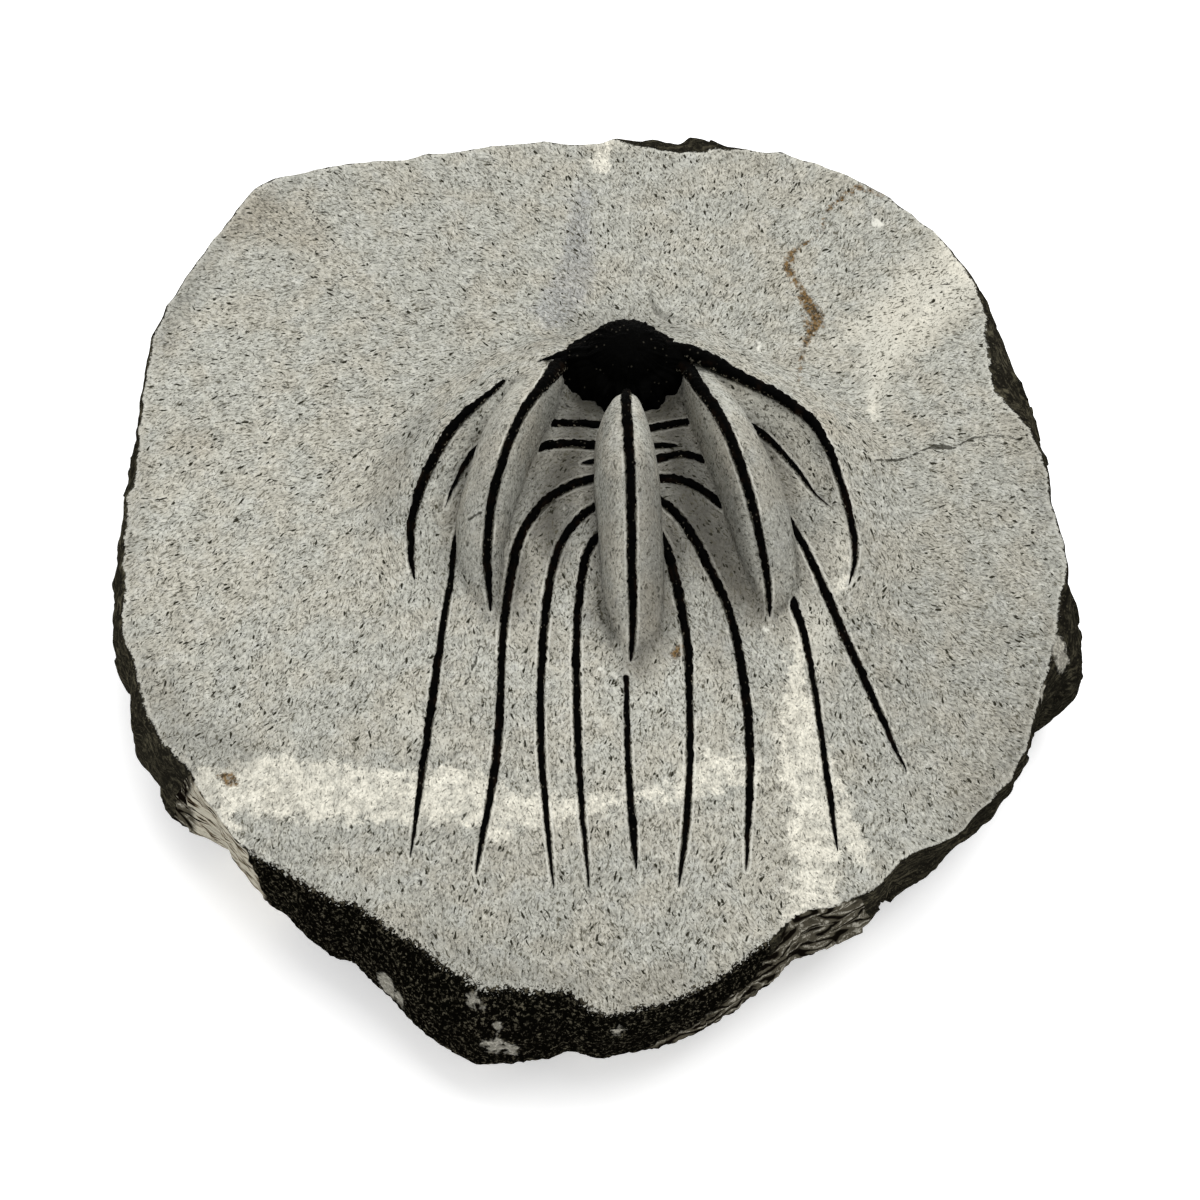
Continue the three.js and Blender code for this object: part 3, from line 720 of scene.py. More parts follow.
# zones of the side: the crust and the pale ledge, each from and to a direction in degrees with
# how gently it fades; how far down the thin plates start in each direction; and the pale chips,
# as (x, y, height, size)
sideZones = {
    "crust": (-137, -70, 4),
    "ledge": (-146.5, -134.5, 2),
    "plates": [
        (-165, 30), (-151, 22), (-148, -0.4), (-136, -0.4), (-133, 14), (-129, 30), (-120, 22),
        (-114, 15), (-107, 12), (-100, 16), (-92, 17), (-86, 11), (-78, 8), (-72, 5), (-69, 1),
        (-66, -1), (-60, -1), (-57, 3), (-54, 12), (-48, 30), (30, 30),
    ],
    "chips": [
        (-22.6, -47.8, 11.6, 1.3), (-21.3, -49.3, 11.4, 0.7), (-13.5, -52.4, 18.8, 0.6),
        (-12.6, -53, 18, 0.3), (-11, -54.3, 16.2, 0.4), (-12.5, -55, 13.6, 0.4),
        (-11.2, -55.3, 12.8, 0.8), (-9.6, -55.3, 12, 0.7), (1.4, -54.8, 16, 0.5),
        (48.2, -11.8, 19.5, 1.4), (49.2, -13.2, 18.4, 1), (46.8, -17.4, 18.8, 0.9),
    ],
}

# lighter and darker areas of the face, as (x, y, brightness)
shadeSpread = 15
faceShades = [
    (-39, 10, 1), (-29, 38, 0.9), (-7, 42, 0.88), (17, 42, 0.88), (37, 0, 0.8), (36, -18, 0.72),
    (-2, -41, 0.8), (-25, -34, 0.84), (-36, -14, 0.95), (4, -22, 1), (-22, 9, 0.9), (30, 25, 0.9),
    (18, -34, 0.9),
]


def makeObject(name, points, faces, masks=None):
    mesh = bpy.data.meshes.new(name)
    mesh.from_pydata((np.asarray(points) * mm).tolist(), [], faces)
    mesh.validate()
    mesh.polygons.foreach_set("use_smooth", [True] * len(mesh.polygons))
    for title, values in (masks or {}).items():
        layer = mesh.attributes.new(title, "FLOAT", "POINT")
        layer.data.foreach_set("value", np.asarray(values, np.float32))
    mesh.update()
    made = bpy.data.objects.new(name, mesh)
    bpy.context.scene.collection.objects.link(made)
    return made


points, faces, masks, turn = rockMesh()
px, py, pz = points.T
for title, lines in marks.items():
    masks[title] = markField(lines, px, py)
directions, starts = zip(*sideZones["plates"])
masks["plates"] = masks["edge"] - np.interp(np.degrees(turn), directions, starts)
for title in ("crust", "ledge"):
    masks[title] = 10 * (sectorWeight(turn, *sideZones[title]) - 0.5)
masks["chips"] = np.full(len(points), -3.0)
for cx, cy, cz, size in sideZones["chips"]:
    distance = np.sqrt((px - cx) ** 2 + (py - cy) ** 2 + (0.6 * (pz - cz)) ** 2)
    masks["chips"] = np.maximum(masks["chips"], size - distance)
weights = [np.exp(-((px - one[0]) ** 2 + (py - one[1]) ** 2) / shadeSpread ** 2) + 1e-9
           for one in faceShades]
masks["tone"] = sum(w * one[2] for w, one in zip(weights, faceShades)) / sum(weights)
rock = makeObject("stoneBlock", points, faces, masks)
print("block:", len(points), "points,", len(faces), "faces")


# the spines
def spineTube(name, line):
    length = np.linalg.norm(np.diff(line, axis=0), axis=1).sum()
    count = max(6, int(length / spineShape["spacing"]))
    path = evenly(line, count)
    along = np.linspace(0, 1, count)
    forward = np.gradient(path, axis=0)
    forward /= np.linalg.norm(forward, axis=1)[:, None]
    side = np.stack([forward[:, 1], -forward[:, 0], np.zeros(count)], -1)
    side /= np.linalg.norm(side, axis=1)[:, None]
    up = np.cross(side, forward)
    seed = sum(ord(letter) for letter in name)
    meander = cloud(path + seed, spineShape["wanderSize"], seed) * spineShape["wander"]
    radius = spineRadius(name, along)
    sides = spineShape["sides"]
    rings = []
    for k in range(sides):
        turnAt = 2 * math.pi * k / sides
        flat = spineShape["flatTop"] if math.sin(turnAt) > 0 else 1
        spoke = side * math.cos(turnAt) + up * (math.sin(turnAt) * flat)
        spot = path + spoke * radius[:, None]
        bumpy = clouds(spot, spineShape["raggedSize"], seed + 1, 2) * spineShape["ragged"]
        bumpy = bumpy + cloud(spot, spineShape["lumpSize"], seed + 3) * spineShape["lumps"]
        bumpy = bumpy * np.minimum(1, 0.45 / radius)  # thick roots are no rougher than thin spines
        rings.append(path + side * meander[:, None] + spoke * (radius * (1 + bumpy))[:, None])
    body = np.stack(rings, 1).reshape(-1, 3)
    start = path[0] - forward[0] * radius[0] * 0.6
    end = path[-1] + forward[-1] * radius[-1] * 1.5
    tubePoints = np.concatenate([body, [start, end]])
    quads = []
    for j in range(count - 1):
        for k in range(sides):
            a = j * sides + k
            b = j * sides + (k + 1) % sides
            quads.append((a, b, b + sides, a + sides))
    last = len(body)
    for k in range(sides):
        quads.append((last, (k + 1) % sides, k))
        quads.append((last + 1, (count - 1) * sides + k, (count - 1) * sides + (k + 1) % sides))
    flank = np.abs(np.cos(2 * np.pi * np.arange(sides) / sides))  # 1 at the sides, 0 on top
    return tubePoints, quads, np.append(np.tile(flank, count), [0, 0])


spines = {}
for name, line in spineLines.items():
    tube, quads, flank = spineTube(name, line)
    spines[name] = makeObject(name + "_shell", tube, quads, {"flank": flank})
print("spines:", len(spines))


# the head
head = {
    "middle": (2.5, 20.6, 22.4),
    "lobes": [  # centre and half sizes of each
        ((2.5, 20.3, 23.4), (8.3, 5.7, 3.9)), ((2.5, 21.3, 25.3), (4.9, 4.5, 4)),
        ((-2.5, 20.6, 25.4), (2, 2.2, 1.9)), ((7.4, 20.6, 25.4), (2, 2.2, 1.9)),
    ],
    "brokenRoot": [(-1.5, 22.4, 25.4), (-3.6, 21.6, 25.9), (-5.6, 20.8, 26.3), (-7.4, 20, 26.6)],
    "rootRadius": [1.3, 0.95, 0.5, 0.2, 0.1],
    "around": 260, "upDown": 120, "blend": 0.35, "pinch": 0.42, "pinchWidth": 6,
    "tubercles": 0.16, "tubercleSize": 0.75, "grainSize": 0.4, "furrowSize": 3.2,
    "strands": 0.22, "strandSize": 0.5, "frayed": 0.5, "fraySize": 0.7,
}


def headMesh():
    # a skin drawn outward from one inner point to the furthest lobe in each direction
    around, upDown = head["around"], head["upDown"]
    turns = np.linspace(0, 2 * np.pi, around, endpoint=False)
    dips = np.linspace(0, np.pi, upDown + 1)[1:-1]
    turn, dip = np.meshgrid(turns, dips)
    ray = np.stack([np.sin(dip) * np.cos(turn), np.sin(dip) * np.sin(turn), np.cos(dip)], -1)
    ray = np.concatenate([ray.reshape(-1, 3), [[0, 0, 1], [0, 0, -1]]])
    middle = np.array(head["middle"])
    reach = np.full(len(ray), 0.1)
    for centre, half in head["lobes"]:
        half = np.array(half)
        offset = (middle - np.array(centre)) / half
        scaled = ray / half
        # how far along the ray this lobe's surface is
        qa = (scaled ** 2).sum(-1)
        qb = (scaled * offset).sum(-1)
        qc = (offset ** 2).sum() - 1
        root = qb ** 2 - qa * qc
        far = np.where(root > 0, (-qb + np.sqrt(np.maximum(root, 0))) / qa, 0)
        reach = softMax(reach, far, head["blend"])
    spot = middle + ray * reach[:, None]
    # the edge towards the fins draws in to a blunt point
    pinch = 1 - head["pinch"] * smooth(0.5, head["pinchWidth"], np.abs(spot[:, 0] - middle[0]))
    spot[:, 1] = middle[1] + (spot[:, 1] - middle[1]) * np.where(spot[:, 1] < middle[1], pinch, 1)
    knobs = np.maximum(0, cloud(spot, head["tubercleSize"], 61)) ** 2 * 1.6
    knobs = knobs + np.maximum(0, cloud(spot, head["grainSize"], 62)) * 0.4
    furrow = np.abs(cloud(spot * [1, 1.6, 1], head["furrowSize"], 63)) * 0.3
    level = np.hypot(ray[:, 0], ray[:, 1]) + 1e-6
    comb = np.stack([ray[:, 0] / level * 7, ray[:, 1] / level * 7, spot[:, 2] * 0.3], -1)
    strands = clouds(comb, head["strandSize"], 64, 2) * head["strands"] * smooth(0.2, 0.7, level)
    fray = cloud(spot * [1, 0.3, 0.3], head["fraySize"], 65) * head["frayed"]
    fray = fray * smooth(1, 4, middle[1] - spot[:, 1])
    spot = spot + ray * ((knobs - furrow) * head["tubercles"] + strands + fray)[:, None]
    quads = []
    ringCount = upDown - 1
    for j in range(ringCount - 1):
        for k in range(around):
            p = j * around + k
            q = j * around + (k + 1) % around
            quads.append((p, p + around, q + around, q))
    top, bottom = len(spot) - 2, len(spot) - 1
    lastRing = (ringCount - 1) * around
    for k in range(around):
        quads.append((top, k, (k + 1) % around))
        quads.append((bottom, lastRing + (k + 1) % around, lastRing + k))
    return spot, quads


dome, quads = headMesh()
spineSizes["brokenRoot"] = head["rootRadius"]
stubLine = evenly(throughPoints(head["brokenRoot"], 30), 20)
stub, stubQuads, stubFlank = spineTube("brokenRoot", stubLine)
quads = quads + [tuple(k + len(dome) for k in quad) for quad in stubQuads]
headMasks = {"flank": np.append(np.zeros(len(dome)), stubFlank)}
headShell = makeObject("headShell", np.concatenate([dome, stub]), quads, headMasks)
print("head:", len(quads), "faces")


# shader building
class NodeBoard:
    def __init__(self, tree):
        self.tree = tree
        self.placed = 0

    def add(self, kind, links=None, **settings):
        made = self.tree.nodes.new(kind if kind.startswith("Node") else "ShaderNode" + kind)
        made.location = (self.placed % 14 * 190, -(self.placed // 14) * 300)
        self.placed += 1
        for key, value in settings.items():
            setattr(made, key, value)
        for socket, value in (links or {}).items():
            self.plug(value, made.inputs[socket])
        return made

    def plug(self, value, socket):
        if isinstance(value, bpy.types.NodeSocket):
            self.tree.links.new(value, socket)
        else:
            socket.default_value = value

    def mask(self, title):
        return self.add("Attribute", attribute_name=title).outputs["Fac"]

    def math(self, operation, a, b=0.0):
        return self.add("Math", {0: a, 1: b}, operation=operation).outputs[0]

    def times(self, first, *others):
        for other in others:
            first = self.math("MULTIPLY", first, other)
        return first

    def vector(self, operation, a, b):
        return self.add("VectorMath", {0: a, 1: b}, operation=operation).outputs[0]

    def fade(self, value, low, high, start=0.0, end=1.0):
        # smooth step from start to end
        links = {"Value": value, "From Min": low, "From Max": high, "To Min": start, "To Max": end}
        return self.add("MapRange", links, interpolation_type="SMOOTHSTEP").outputs["Result"]

    def blend(self, amount, a, b, way="MIX"):
        return self.add("Mix", {0: amount, 6: a, 7: b}, data_type="RGBA", blend_type=way).outputs[2]

    def cover(self, under, mask, strength, tint):
        # lay a colour over another where the mask is, at this strength
        return self.blend(self.times(mask, strength), under, tint)

    def dim(self, colour, brightness):
        grey = self.add("CombineColor", {0: brightness, 1: brightness, 2: brightness}).outputs[0]
        return self.blend(1.0, colour, grey, "MULTIPLY")

    def noise(self, vector, size, detail=2.0, roughness=0.55):
        # noise with features of this size in millimetres
        return self.plainNoise(vector, detail, roughness, 1 / (size * mm))

    def plainNoise(self, vector, detail, roughness, scale=1.0):
        links = {"Vector": vector, "Scale": scale, "Detail": detail, "Roughness": roughness}
        return self.add("TexNoise", links, noise_dimensions="3D").outputs["Fac"]

    def layers(self, vector, turn, sizes, detail, roughness):
        # noise drawn out to these sizes in millimetres along turned axes
        links = {"Vector": vector, "Rotation": turn, "Scale": [size * mm for size in sizes]}
        drawn = self.add("Mapping", links, vector_type="TEXTURE").outputs[0]
        return self.plainNoise(drawn, detail, roughness)

    def bump(self, relief):
        # normals from a relief given in millimetres
        links = {"Height": relief, "Distance": mm, "Strength": 1.0}
        return self.add("Bump", links).outputs[0]

    def group(self, tree, **links):
        made = self.add("Group", node_tree=tree)
        for title, value in links.items():
            self.plug(value, made.inputs[title])
        return made.outputs


def newGroup(title, inputs, outputs):
    tree = bpy.data.node_groups.new(title, "ShaderNodeTree")
    for name, value in inputs.items():
        kind = "NodeSocketVector" if name == "Place" else "NodeSocketFloat"
        socket = tree.interface.new_socket(name=name, in_out="INPUT", socket_type=kind)
        if value is not None:
            socket.default_value = value
    for name in outputs:
        tree.interface.new_socket(name=name, in_out="OUTPUT", socket_type="NodeSocketFloat")
    board = NodeBoard(tree)
    return tree, board, board.add("NodeGroupInput").outputs, board.add("NodeGroupOutput").inputs


# the preparer's needle: how far streaks swing, how noises differ from patch to patch, and the pits
needle = {
    "swing": 1.3, "shift": (60, 60, 60), "streakNoise": (1.5, 0.6), "fleckNoise": (2.0, 0.55),
    "fleckSoft": 0.1, "pitCells": 0.5, "pitRagged": 0.9, "pitGrow": 0.14,
    "pitEdge": (0.14, 0.23, 1.0, 0.0),
}


def buildToolMarks():
    # marks laid patch by patch along the flow masks: streaks, flecks, pits
    tree, board, given, out = newGroup("toolMarks", {
        "Place": None, "FlowX": 1.0, "FlowY": 0.0, "Patch": 2.2, "StreakLength": 0.7,
        "StreakWidth": 0.26, "Spacing": 1.5, "Swing": 1.2, "FleckLength": 0.5, "FleckWidth": 0.22,
        "Rarity": 0.55, "PitRarity": 0.55}, ["Streak", "Flecks", "Pits"])
    flow = board.times(board.math("ARCTAN2", given["FlowY"], given["FlowX"]), 0.5)
    flat = board.vector("MULTIPLY", given["Place"], (1, 1, 0.5))

    def patchNoise(size, jitter, length, width):
        # noise drawn out along the flow, with a turn and a shift of its own in each patch
        scale = board.math("DIVIDE", 1 / mm, size)
        cell = board.add("TexVoronoi", {"Vector": flat, "Scale": scale}, feature="F1").outputs
        away = board.vector("SUBTRACT", flat, cell["Position"])
        chance = board.add("SeparateColor", {0: cell["Color"]}).outputs[0]
        swing = board.times(board.math("SUBTRACT", chance, 0.5), jitter)
        links = {"Vector": away, "Angle": board.times(board.math("ADD", flow, swing), -1.0)}
        turned = board.add("VectorRotate", links, rotation_type="Z_AXIS").outputs[0]
        scaled = board.add("VectorMath", {0: turned, 3: 1 / mm}, operation="SCALE").outputs[0]
        sizes = board.add("CombineXYZ", {0: length, 1: width, 2: width}).outputs[0]
        links = {0: cell["Color"], 1: needle["shift"], 2: board.vector("DIVIDE", scaled, sizes)}
        return board.add("VectorMath", links, operation="MULTIPLY_ADD").outputs[0]

    wide = patchNoise(given["Patch"], needle["swing"], given["StreakLength"], given["StreakWidth"])
    board.plug(board.plainNoise(wide, *needle["streakNoise"]), out["Streak"])

    small = patchNoise(given["Spacing"], given["Swing"], given["FleckLength"], given["FleckWidth"])
    fleck = board.plainNoise(small, *needle["fleckNoise"])
    most = board.math("ADD", given["Rarity"], needle["fleckSoft"])
    board.plug(board.fade(fleck, given["Rarity"], most), out["Flecks"])

    # pits are round dots with ragged edges, one in some of the cells
    links = {"Vector": small, "Scale": needle["pitCells"]}
    cell = board.add("TexVoronoi", links, feature="F1").outputs
    chance = board.add("SeparateColor", {0: cell["Color"]}).outputs
    ragged = board.times(board.math("SUBTRACT", 0.5, fleck), needle["pitRagged"])
    reach = board.math("ADD", cell["Distance"], ragged)
    grow = board.times(chance[1], needle["pitGrow"])
    pit = board.fade(board.math("SUBTRACT", reach, grow), *needle["pitEdge"])
    rare = board.math("GREATER_THAN", chance[0], given["PitRarity"])
    board.plug(board.times(pit, rare), out["Pits"])
    return tree


# mineral grain: a soft mottle, and rare specks
minerals = {"mottleNoise": (4.0, 0.7), "speckCells": 0.7, "speckEdge": (0.18, 0.34, 1.0, 0.0)}


def buildGrain():
    tree, board, given, out = newGroup(
        "mineralGrain", {"Place": None, "Size": 0.4, "Rarity": 0.6}, ["Mottle", "Specks"])
    links = {0: given["Place"], 3: board.math("DIVIDE", 1 / mm, given["Size"])}
    scaled = board.add("VectorMath", links, operation="SCALE").outputs[0]
    board.plug(board.plainNoise(scaled, *minerals["mottleNoise"]), out["Mottle"])
    links = {"Vector": scaled, "Scale": minerals["speckCells"]}
    spot = board.add("TexVoronoi", links, feature="F1").outputs
    chance = board.add("SeparateColor", {0: spot["Color"]}).outputs[0]
    dot = board.fade(spot["Distance"], *minerals["speckEdge"])
    board.plug(board.times(board.math("GREATER_THAN", chance, given["Rarity"]), dot), out["Specks"])
    return tree


def buildRagged():
    # turns a distance and a noise into a mask with an uneven edge
    inputs = {"Field": 0.0, "Noise": 0.5, "Wander": 0.5, "Soft": 0.1}
    tree, board, given, out = newGroup("raggedEdge", inputs, ["Mask", "Distance"])
    drift = board.times(board.math("SUBTRACT", given["Noise"], 0.5), given["Wander"])
    away = board.math("ADD", given["Field"], board.times(drift, 4.0))
    board.plug(board.fade(board.math("DIVIDE", away, given["Soft"]), -0.5, 0.5), out["Mask"])
    board.plug(away, out["Distance"])
    return tree


marksGroup = buildToolMarks()
grainGroup = buildGrain()
raggedGroup = buildRagged()


def newMaterial(title, sockets, boardKind=NodeBoard):
    material = bpy.data.materials.new(title)
    material.use_nodes = True
    shader = material.node_tree.nodes["Principled BSDF"]
    for socket, value in sockets.items():
        shader.inputs[socket].default_value = value
    return material, boardKind(material.node_tree), shader


# textures that the marks share; a noise is its size in millimetres, its detail and its roughness
stoneTextures = {
    "grain": {"Size": 0.34, "Rarity": 0.93},
    # tool marks: the long strokes, and the short scrapes that cross them
    "strokes": {"FleckLength": 0.62, "PitRarity": 0.7},
    "scrapes": {"Patch": 1.1, "StreakLength": 0.5, "StreakWidth": 0.5, "Spacing": 0.9, "Swing": 2.2,
                "FleckLength": 0.5, "FleckWidth": 0.2, "Rarity": 0.585, "PitRarity": 1.0},
    "drift": (5.5, 3), "sideDrift": (3.5, 3), "patchy": (1.7, 4, 0.65), "ripple": (0.7, 3, 0.6),
    "lump": (0.42, 3, 0.7),
}
# how a texture or a mask becomes an amount: the values it runs between, and the amount at each
stoneFades = {
    "warmth": (0.4, 0.62), "blueness": (0.5, 0.66, 0.0, 0.28), "veining": (0.36, 0.56, 0.65, 1.0),
    "calmFins": (0, 1, 1, 0.5), "calmCalcite": (0, 1, 1, 0.7), "mottle": (0.25, 0.7, 0.8, 1.2),
    "streak": (0.28, 0.52, -0.4, 0.04), "scrape": (0.3, 0.55, 0.84, 1.06),
    "patch": (0.35, 0.65, 0.88, 1.1), "streakHighlight": (0.6, 0.7), "recessShade": (0.3, 3.2, 0.0, 0.6),
    "litFins": (0, 1, 1, 0.5), "cleanCalcite": (0, 1, 1, 0.3), "cleanFins": (0, 1, 1, 0.6),
    "fleckGroups": (0.35, 0.6, 1.0, 0.72), "rustBreaks": (0.34, 0.5, 0.6, 1.0),
    "rustGrain": (0.46, 0.54), "crackCore": (-0.17, -0.06), "seam": (0.0, 0.14, 1.0, 0.0),
    "lineInside": (0.14, 0.22), "lineOutside": (0.3, 0.46, 1.0, 0.0), "lineBreaks": (0.44, 0.56),
    "lineInShade": (0.0, 0.8, 1.0, 0.3),
    # the side and the rim
    "fibre": (0.46, 0.68), "skinPatches": (0.35, 0.65, 0.35, 1.0),
    "skinSpots": (0.56, 0.68, 0.0, 0.7), "sidePaintedLight": (0.76, 0.96, 0.6, 1.0),
    "crustGrain": (0.53, 0.67),
    "crustPatches": (0.3, 0.65, 0.5, 1.0), "plateGaps": (-0.75, 0.1), "plateHighlights": (0.5, 0.98),
    "plateSpots": (0.42, 0.62), "ledgeSpots": (0.42, 0.52), "ledgeGaps": (0.36, 0.42, 1.0, 0.0),
    "ledge": (-2.0, 2.0), "wornChips": (0.3, 0.6, 0.75, 0.3), "rimFuzz": (0.0, 1.0, 1.2, 4.2),
    "rimInside": (-0.6, -0.3), "rimOutside": (-0.15, 0.0, 1.0, 0.0),
    "roughness": (0, 1, 0.92, 0.6), "faceOnly": (0, 1, 1.0, 0.0),
}
# how far the edge of each mark wanders and how soft it is, in millimetres
markEdges = {
    "calcite": (1.3, 1.5), "brown": (1.2, 3.0), "stain": (0.8, 2.0), "hollowShade": (0.8, 6.0),
    "bleachedAndLit": (0.8, 4.0), "paintedShade": (0.8, 5.0), "bruise": (0.35, 0.5), "rust": (0.55, 0.6),
    "crack": (0.14, 0.16), "creaseShadow": (0.2, 0.7), "gouge": (0.2, 0.4), "spineGap": (0.09, 0.1),
    "crust": (1.2, 0.8), "plates": (1.1, 0.5), "chips": (0.45, 0.5), "rim": (0.3, 0.18),
}
# how much of the stone under it each mark covers
markCover = {
    "calcite": 0.8, "brown": 0.27, "stain": 0.5, "hollowShade": 0.9, "bleachedAndLit": 0.58, "paintedShade": 0.32,
    "bruise": 0.85, "rust": 0.95, "crack": 0.85, "creaseShadow": 0.5, "gouge": 0.4, "spineGap": 0.85,
    "streaks": 0.4, "scrapes": 0.75, "specks": 0.5, "spineHighlight": 0.5, "rimLine": 0.2,
}


class StoneBoard(NodeBoard):
    # a board that starts with what more than one step of the limestone uses
    def __init__(self, tree):
        super().__init__(tree)
        self.place = self.add("TexCoord").outputs["Object"]
        flow = {"FlowX": self.mask("flowX"), "FlowY": self.mask("flowY")}
        self.grain = self.group(grainGroup, Place=self.place, **stoneTextures["grain"])
        self.strokes = self.group(marksGroup, Place=self.place, **flow, **stoneTextures["strokes"])
        self.scrapes = self.group(marksGroup, Place=self.place, **flow, **stoneTextures["scrapes"])
        # noises, from the broadest to the finest
        self.drift = self.noise(self.place, *stoneTextures["drift"])
        self.sideDrift = self.noise(self.place, *stoneTextures["sideDrift"])
        self.patchy = self.noise(self.place, *stoneTextures["patchy"])
        self.ripple = self.noise(self.place, *stoneTextures["ripple"])
        self.lump = self.noise(self.place, *stoneTextures["lump"])
        # masks
        self.tone = self.mask("tone")
        self.upright = self.mask("upright")
        bands = self.ragged("calcite", self.patchy)["Mask"]
        self.calcite = self.times(bands, self.ramp("veining", self.patchy))
        # painted shade in recesses and in the hollows between the fins, weaker on the fin flanks
        recessShade = self.ramp("recessShade", self.mask("recessShade"))
        hollowShade = self.math("MAXIMUM", recessShade, self.ragged("hollowShade", self.patchy)["Mask"])
        self.shade = self.times(hollowShade, self.ramp("litFins", self.upright))
        self.crack = self.ramp("crackCore", self.ragged("crack", self.ripple)["Distance"])
        self.crusty = self.ragged("crust", self.sideDrift)["Mask"]
        self.plated = self.ragged("plates", self.sideDrift)["Mask"]

    def ramp(self, title, value):
        return self.fade(value, *stoneFades[title])

    def ragged(self, title, noise, field=None):
        wander, soft = markEdges[title]
        field = field or self.mask(title)
        return self.group(raggedGroup, Field=field, Noise=noise, Wander=wander, Soft=soft)

    def marked(self, under, title, noise, tint):
        return self.cover(under, self.ragged(title, noise)["Mask"], markCover[title], tint)


limestone = {
    "cool": (0.398, 0.396, 0.35, 1), "warm": (0.41, 0.394, 0.335, 1),
    "blue": (0.36, 0.365, 0.35, 1), "pale": (0.66, 0.65, 0.58, 1), "dark": (0.024, 0.023, 0.016, 1),
    "fleck": (0.075, 0.07, 0.05, 1), "calcite": (0.60, 0.575, 0.49, 1),
    "rust": (0.15, 0.088, 0.03, 1), "rustDark": (0.034, 0.022, 0.009, 1),
    "brown": (0.27, 0.215, 0.14, 1), "stain": (0.235, 0.24, 0.245, 1),
    # the colour for recesses is painted shade, laid in the hollows and beside the fins
    "recessShade": (0.066, 0.062, 0.053, 1), "brightness": 0.985,
    "strokeDepth": 0.12, "grainDepth": 0.12, "crackDepth": 0.08, "sideDepth": 0.5,
    "plateDepth": 0.14,
}


def groundColour(stone):
    # grey stone that drifts between cool, warm and faintly blue
    colour = stone.blend(stone.ramp("warmth", stone.drift), limestone["cool"], limestone["warm"])
    colour = stone.blend(stone.ramp("blueness", stone.patchy), colour, limestone["blue"])
    colour = stone.dim(colour, stone.tone)

    # calcite bands and stains lie under the tool marks
    colour = stone.cover(colour, stone.calcite, markCover["calcite"], limestone["calcite"])
    colour = stone.marked(colour, "brown", stone.patchy, limestone["brown"])
    colour = stone.marked(colour, "stain", stone.patchy, limestone["stain"])

    # mottle and streaks, calmer on the fins and on calcite
    calm = stone.times(
        stone.ramp("calmFins", stone.upright), stone.ramp("calmCalcite", stone.calcite))
    streak = stone.times(stone.ramp("streak", stone.strokes["Streak"]), calm)
    colour = stone.dim(colour, stone.times(
        stone.ramp("mottle", stone.grain["Mottle"]),
        stone.math("ADD", streak, limestone["brightness"]),
        stone.ramp("scrape", stone.scrapes["Streak"]),
        stone.ramp("patch", stone.patchy)))
    # painted highlight: the palest tool strokes are laid on in pale
    paintedHighlight = stone.ramp("streakHighlight", stone.strokes["Streak"])
    return stone.cover(colour, paintedHighlight, markCover["streaks"], limestone["pale"])


def addShadeAndFlecks(stone, colour):
    # painted shade in the hollows, partly darker stone, and beside the fins; painted light on the
    # fin flanks, mixed with bleached stone
    colour = stone.cover(colour, stone.shade, markCover["hollowShade"], limestone["recessShade"])
    colour = stone.marked(colour, "bleachedAndLit", stone.patchy, limestone["calcite"])
    colour = stone.marked(colour, "paintedShade", stone.patchy, limestone["recessShade"])

    # dark flecks, specks and pits, fewer on calcite and on the fins
    clean = stone.times(
        stone.ramp("cleanCalcite", stone.calcite), stone.ramp("cleanFins", stone.upright))
    flecks = stone.times(stone.strokes["Flecks"], stone.ramp("fleckGroups", stone.patchy), clean)
    colour = stone.blend(flecks, colour, limestone["fleck"])
    colour = stone.cover(colour, stone.scrapes["Flecks"], markCover["scrapes"], limestone["dark"])
    colour = stone.cover(colour, stone.grain["Specks"], markCover["specks"], limestone["dark"])
    return stone.cover(colour, stone.strokes["Pits"], clean, limestone["dark"])


def addMarks(stone, colour):
    # bruised white spots, rust, and hairline cracks
    colour = stone.marked(colour, "bruise", stone.ripple, limestone["pale"])
    rust = stone.ragged("rust", stone.ripple)["Mask"]
    rust = stone.times(rust, stone.ramp("rustBreaks", stone.strokes["Streak"]))
    rustGrain = stone.ramp("rustGrain", stone.lump)
    rustTone = stone.blend(rustGrain, limestone["rustDark"], limestone["rust"])
    colour = stone.cover(colour, rust, markCover["rust"], rustTone)
    colour = stone.cover(colour, stone.crack, markCover["crack"], limestone["dark"])
    # painted shadow in the creases under the head and at the fins' feet
    colour = stone.marked(colour, "creaseShadow", stone.ripple, limestone["dark"])
    colour = stone.marked(colour, "gouge", stone.ripple, limestone["dark"])

    # a painted highlight beside each spine, fainter in the painted shade, and a dark seam against
    # it
    gap = stone.ragged("spineGap", stone.ripple)["Distance"]
    spineHighlight = stone.times(
        stone.ramp("lineInside", gap), stone.ramp("lineOutside", gap),
        stone.ramp("lineBreaks", stone.drift), stone.ramp("lineInShade", stone.shade))
    colour = stone.cover(colour, spineHighlight, markCover["spineHighlight"], limestone["pale"])
    return stone.cover(colour, stone.ramp("seam", gap), markCover["spineGap"], limestone["dark"])


sideStone = {
    "crust": (0.002, 0.0018, 0.0012, 1), "crustGrain": (0.1, 0.09, 0.062, 1),
    "olive": (0.012, 0.011, 0.008, 1), "oliveLight": (0.105, 0.095, 0.062, 1),
    "plate": (0.075, 0.067, 0.048, 1), "plateHighlight": (0.38, 0.36, 0.30, 1),
    "plateShade": (0.004, 0.003, 0.002, 1), "ledge": (0.5, 0.47, 0.38, 1),
    "ledgeSpot": (0.14, 0.11, 0.07, 1), "plateWaves": 46.0,
    # layers: their tilt, their sizes in millimetres, detail and roughness
    "fibres": ((0.1, 0.15, 0.3), (1.2, 1.2, 0.4), 4.0, 0.7),
    "plates": ((0.06, 0.1, 0.45), (8, 8, 3), 1.5, 0.5),
    "bedding": ((0.04, 0.06, 0.3), (2.6, 2.6, 0.34), 2.0, 0.6),
    "fuzzMiddle": 0.56,
}


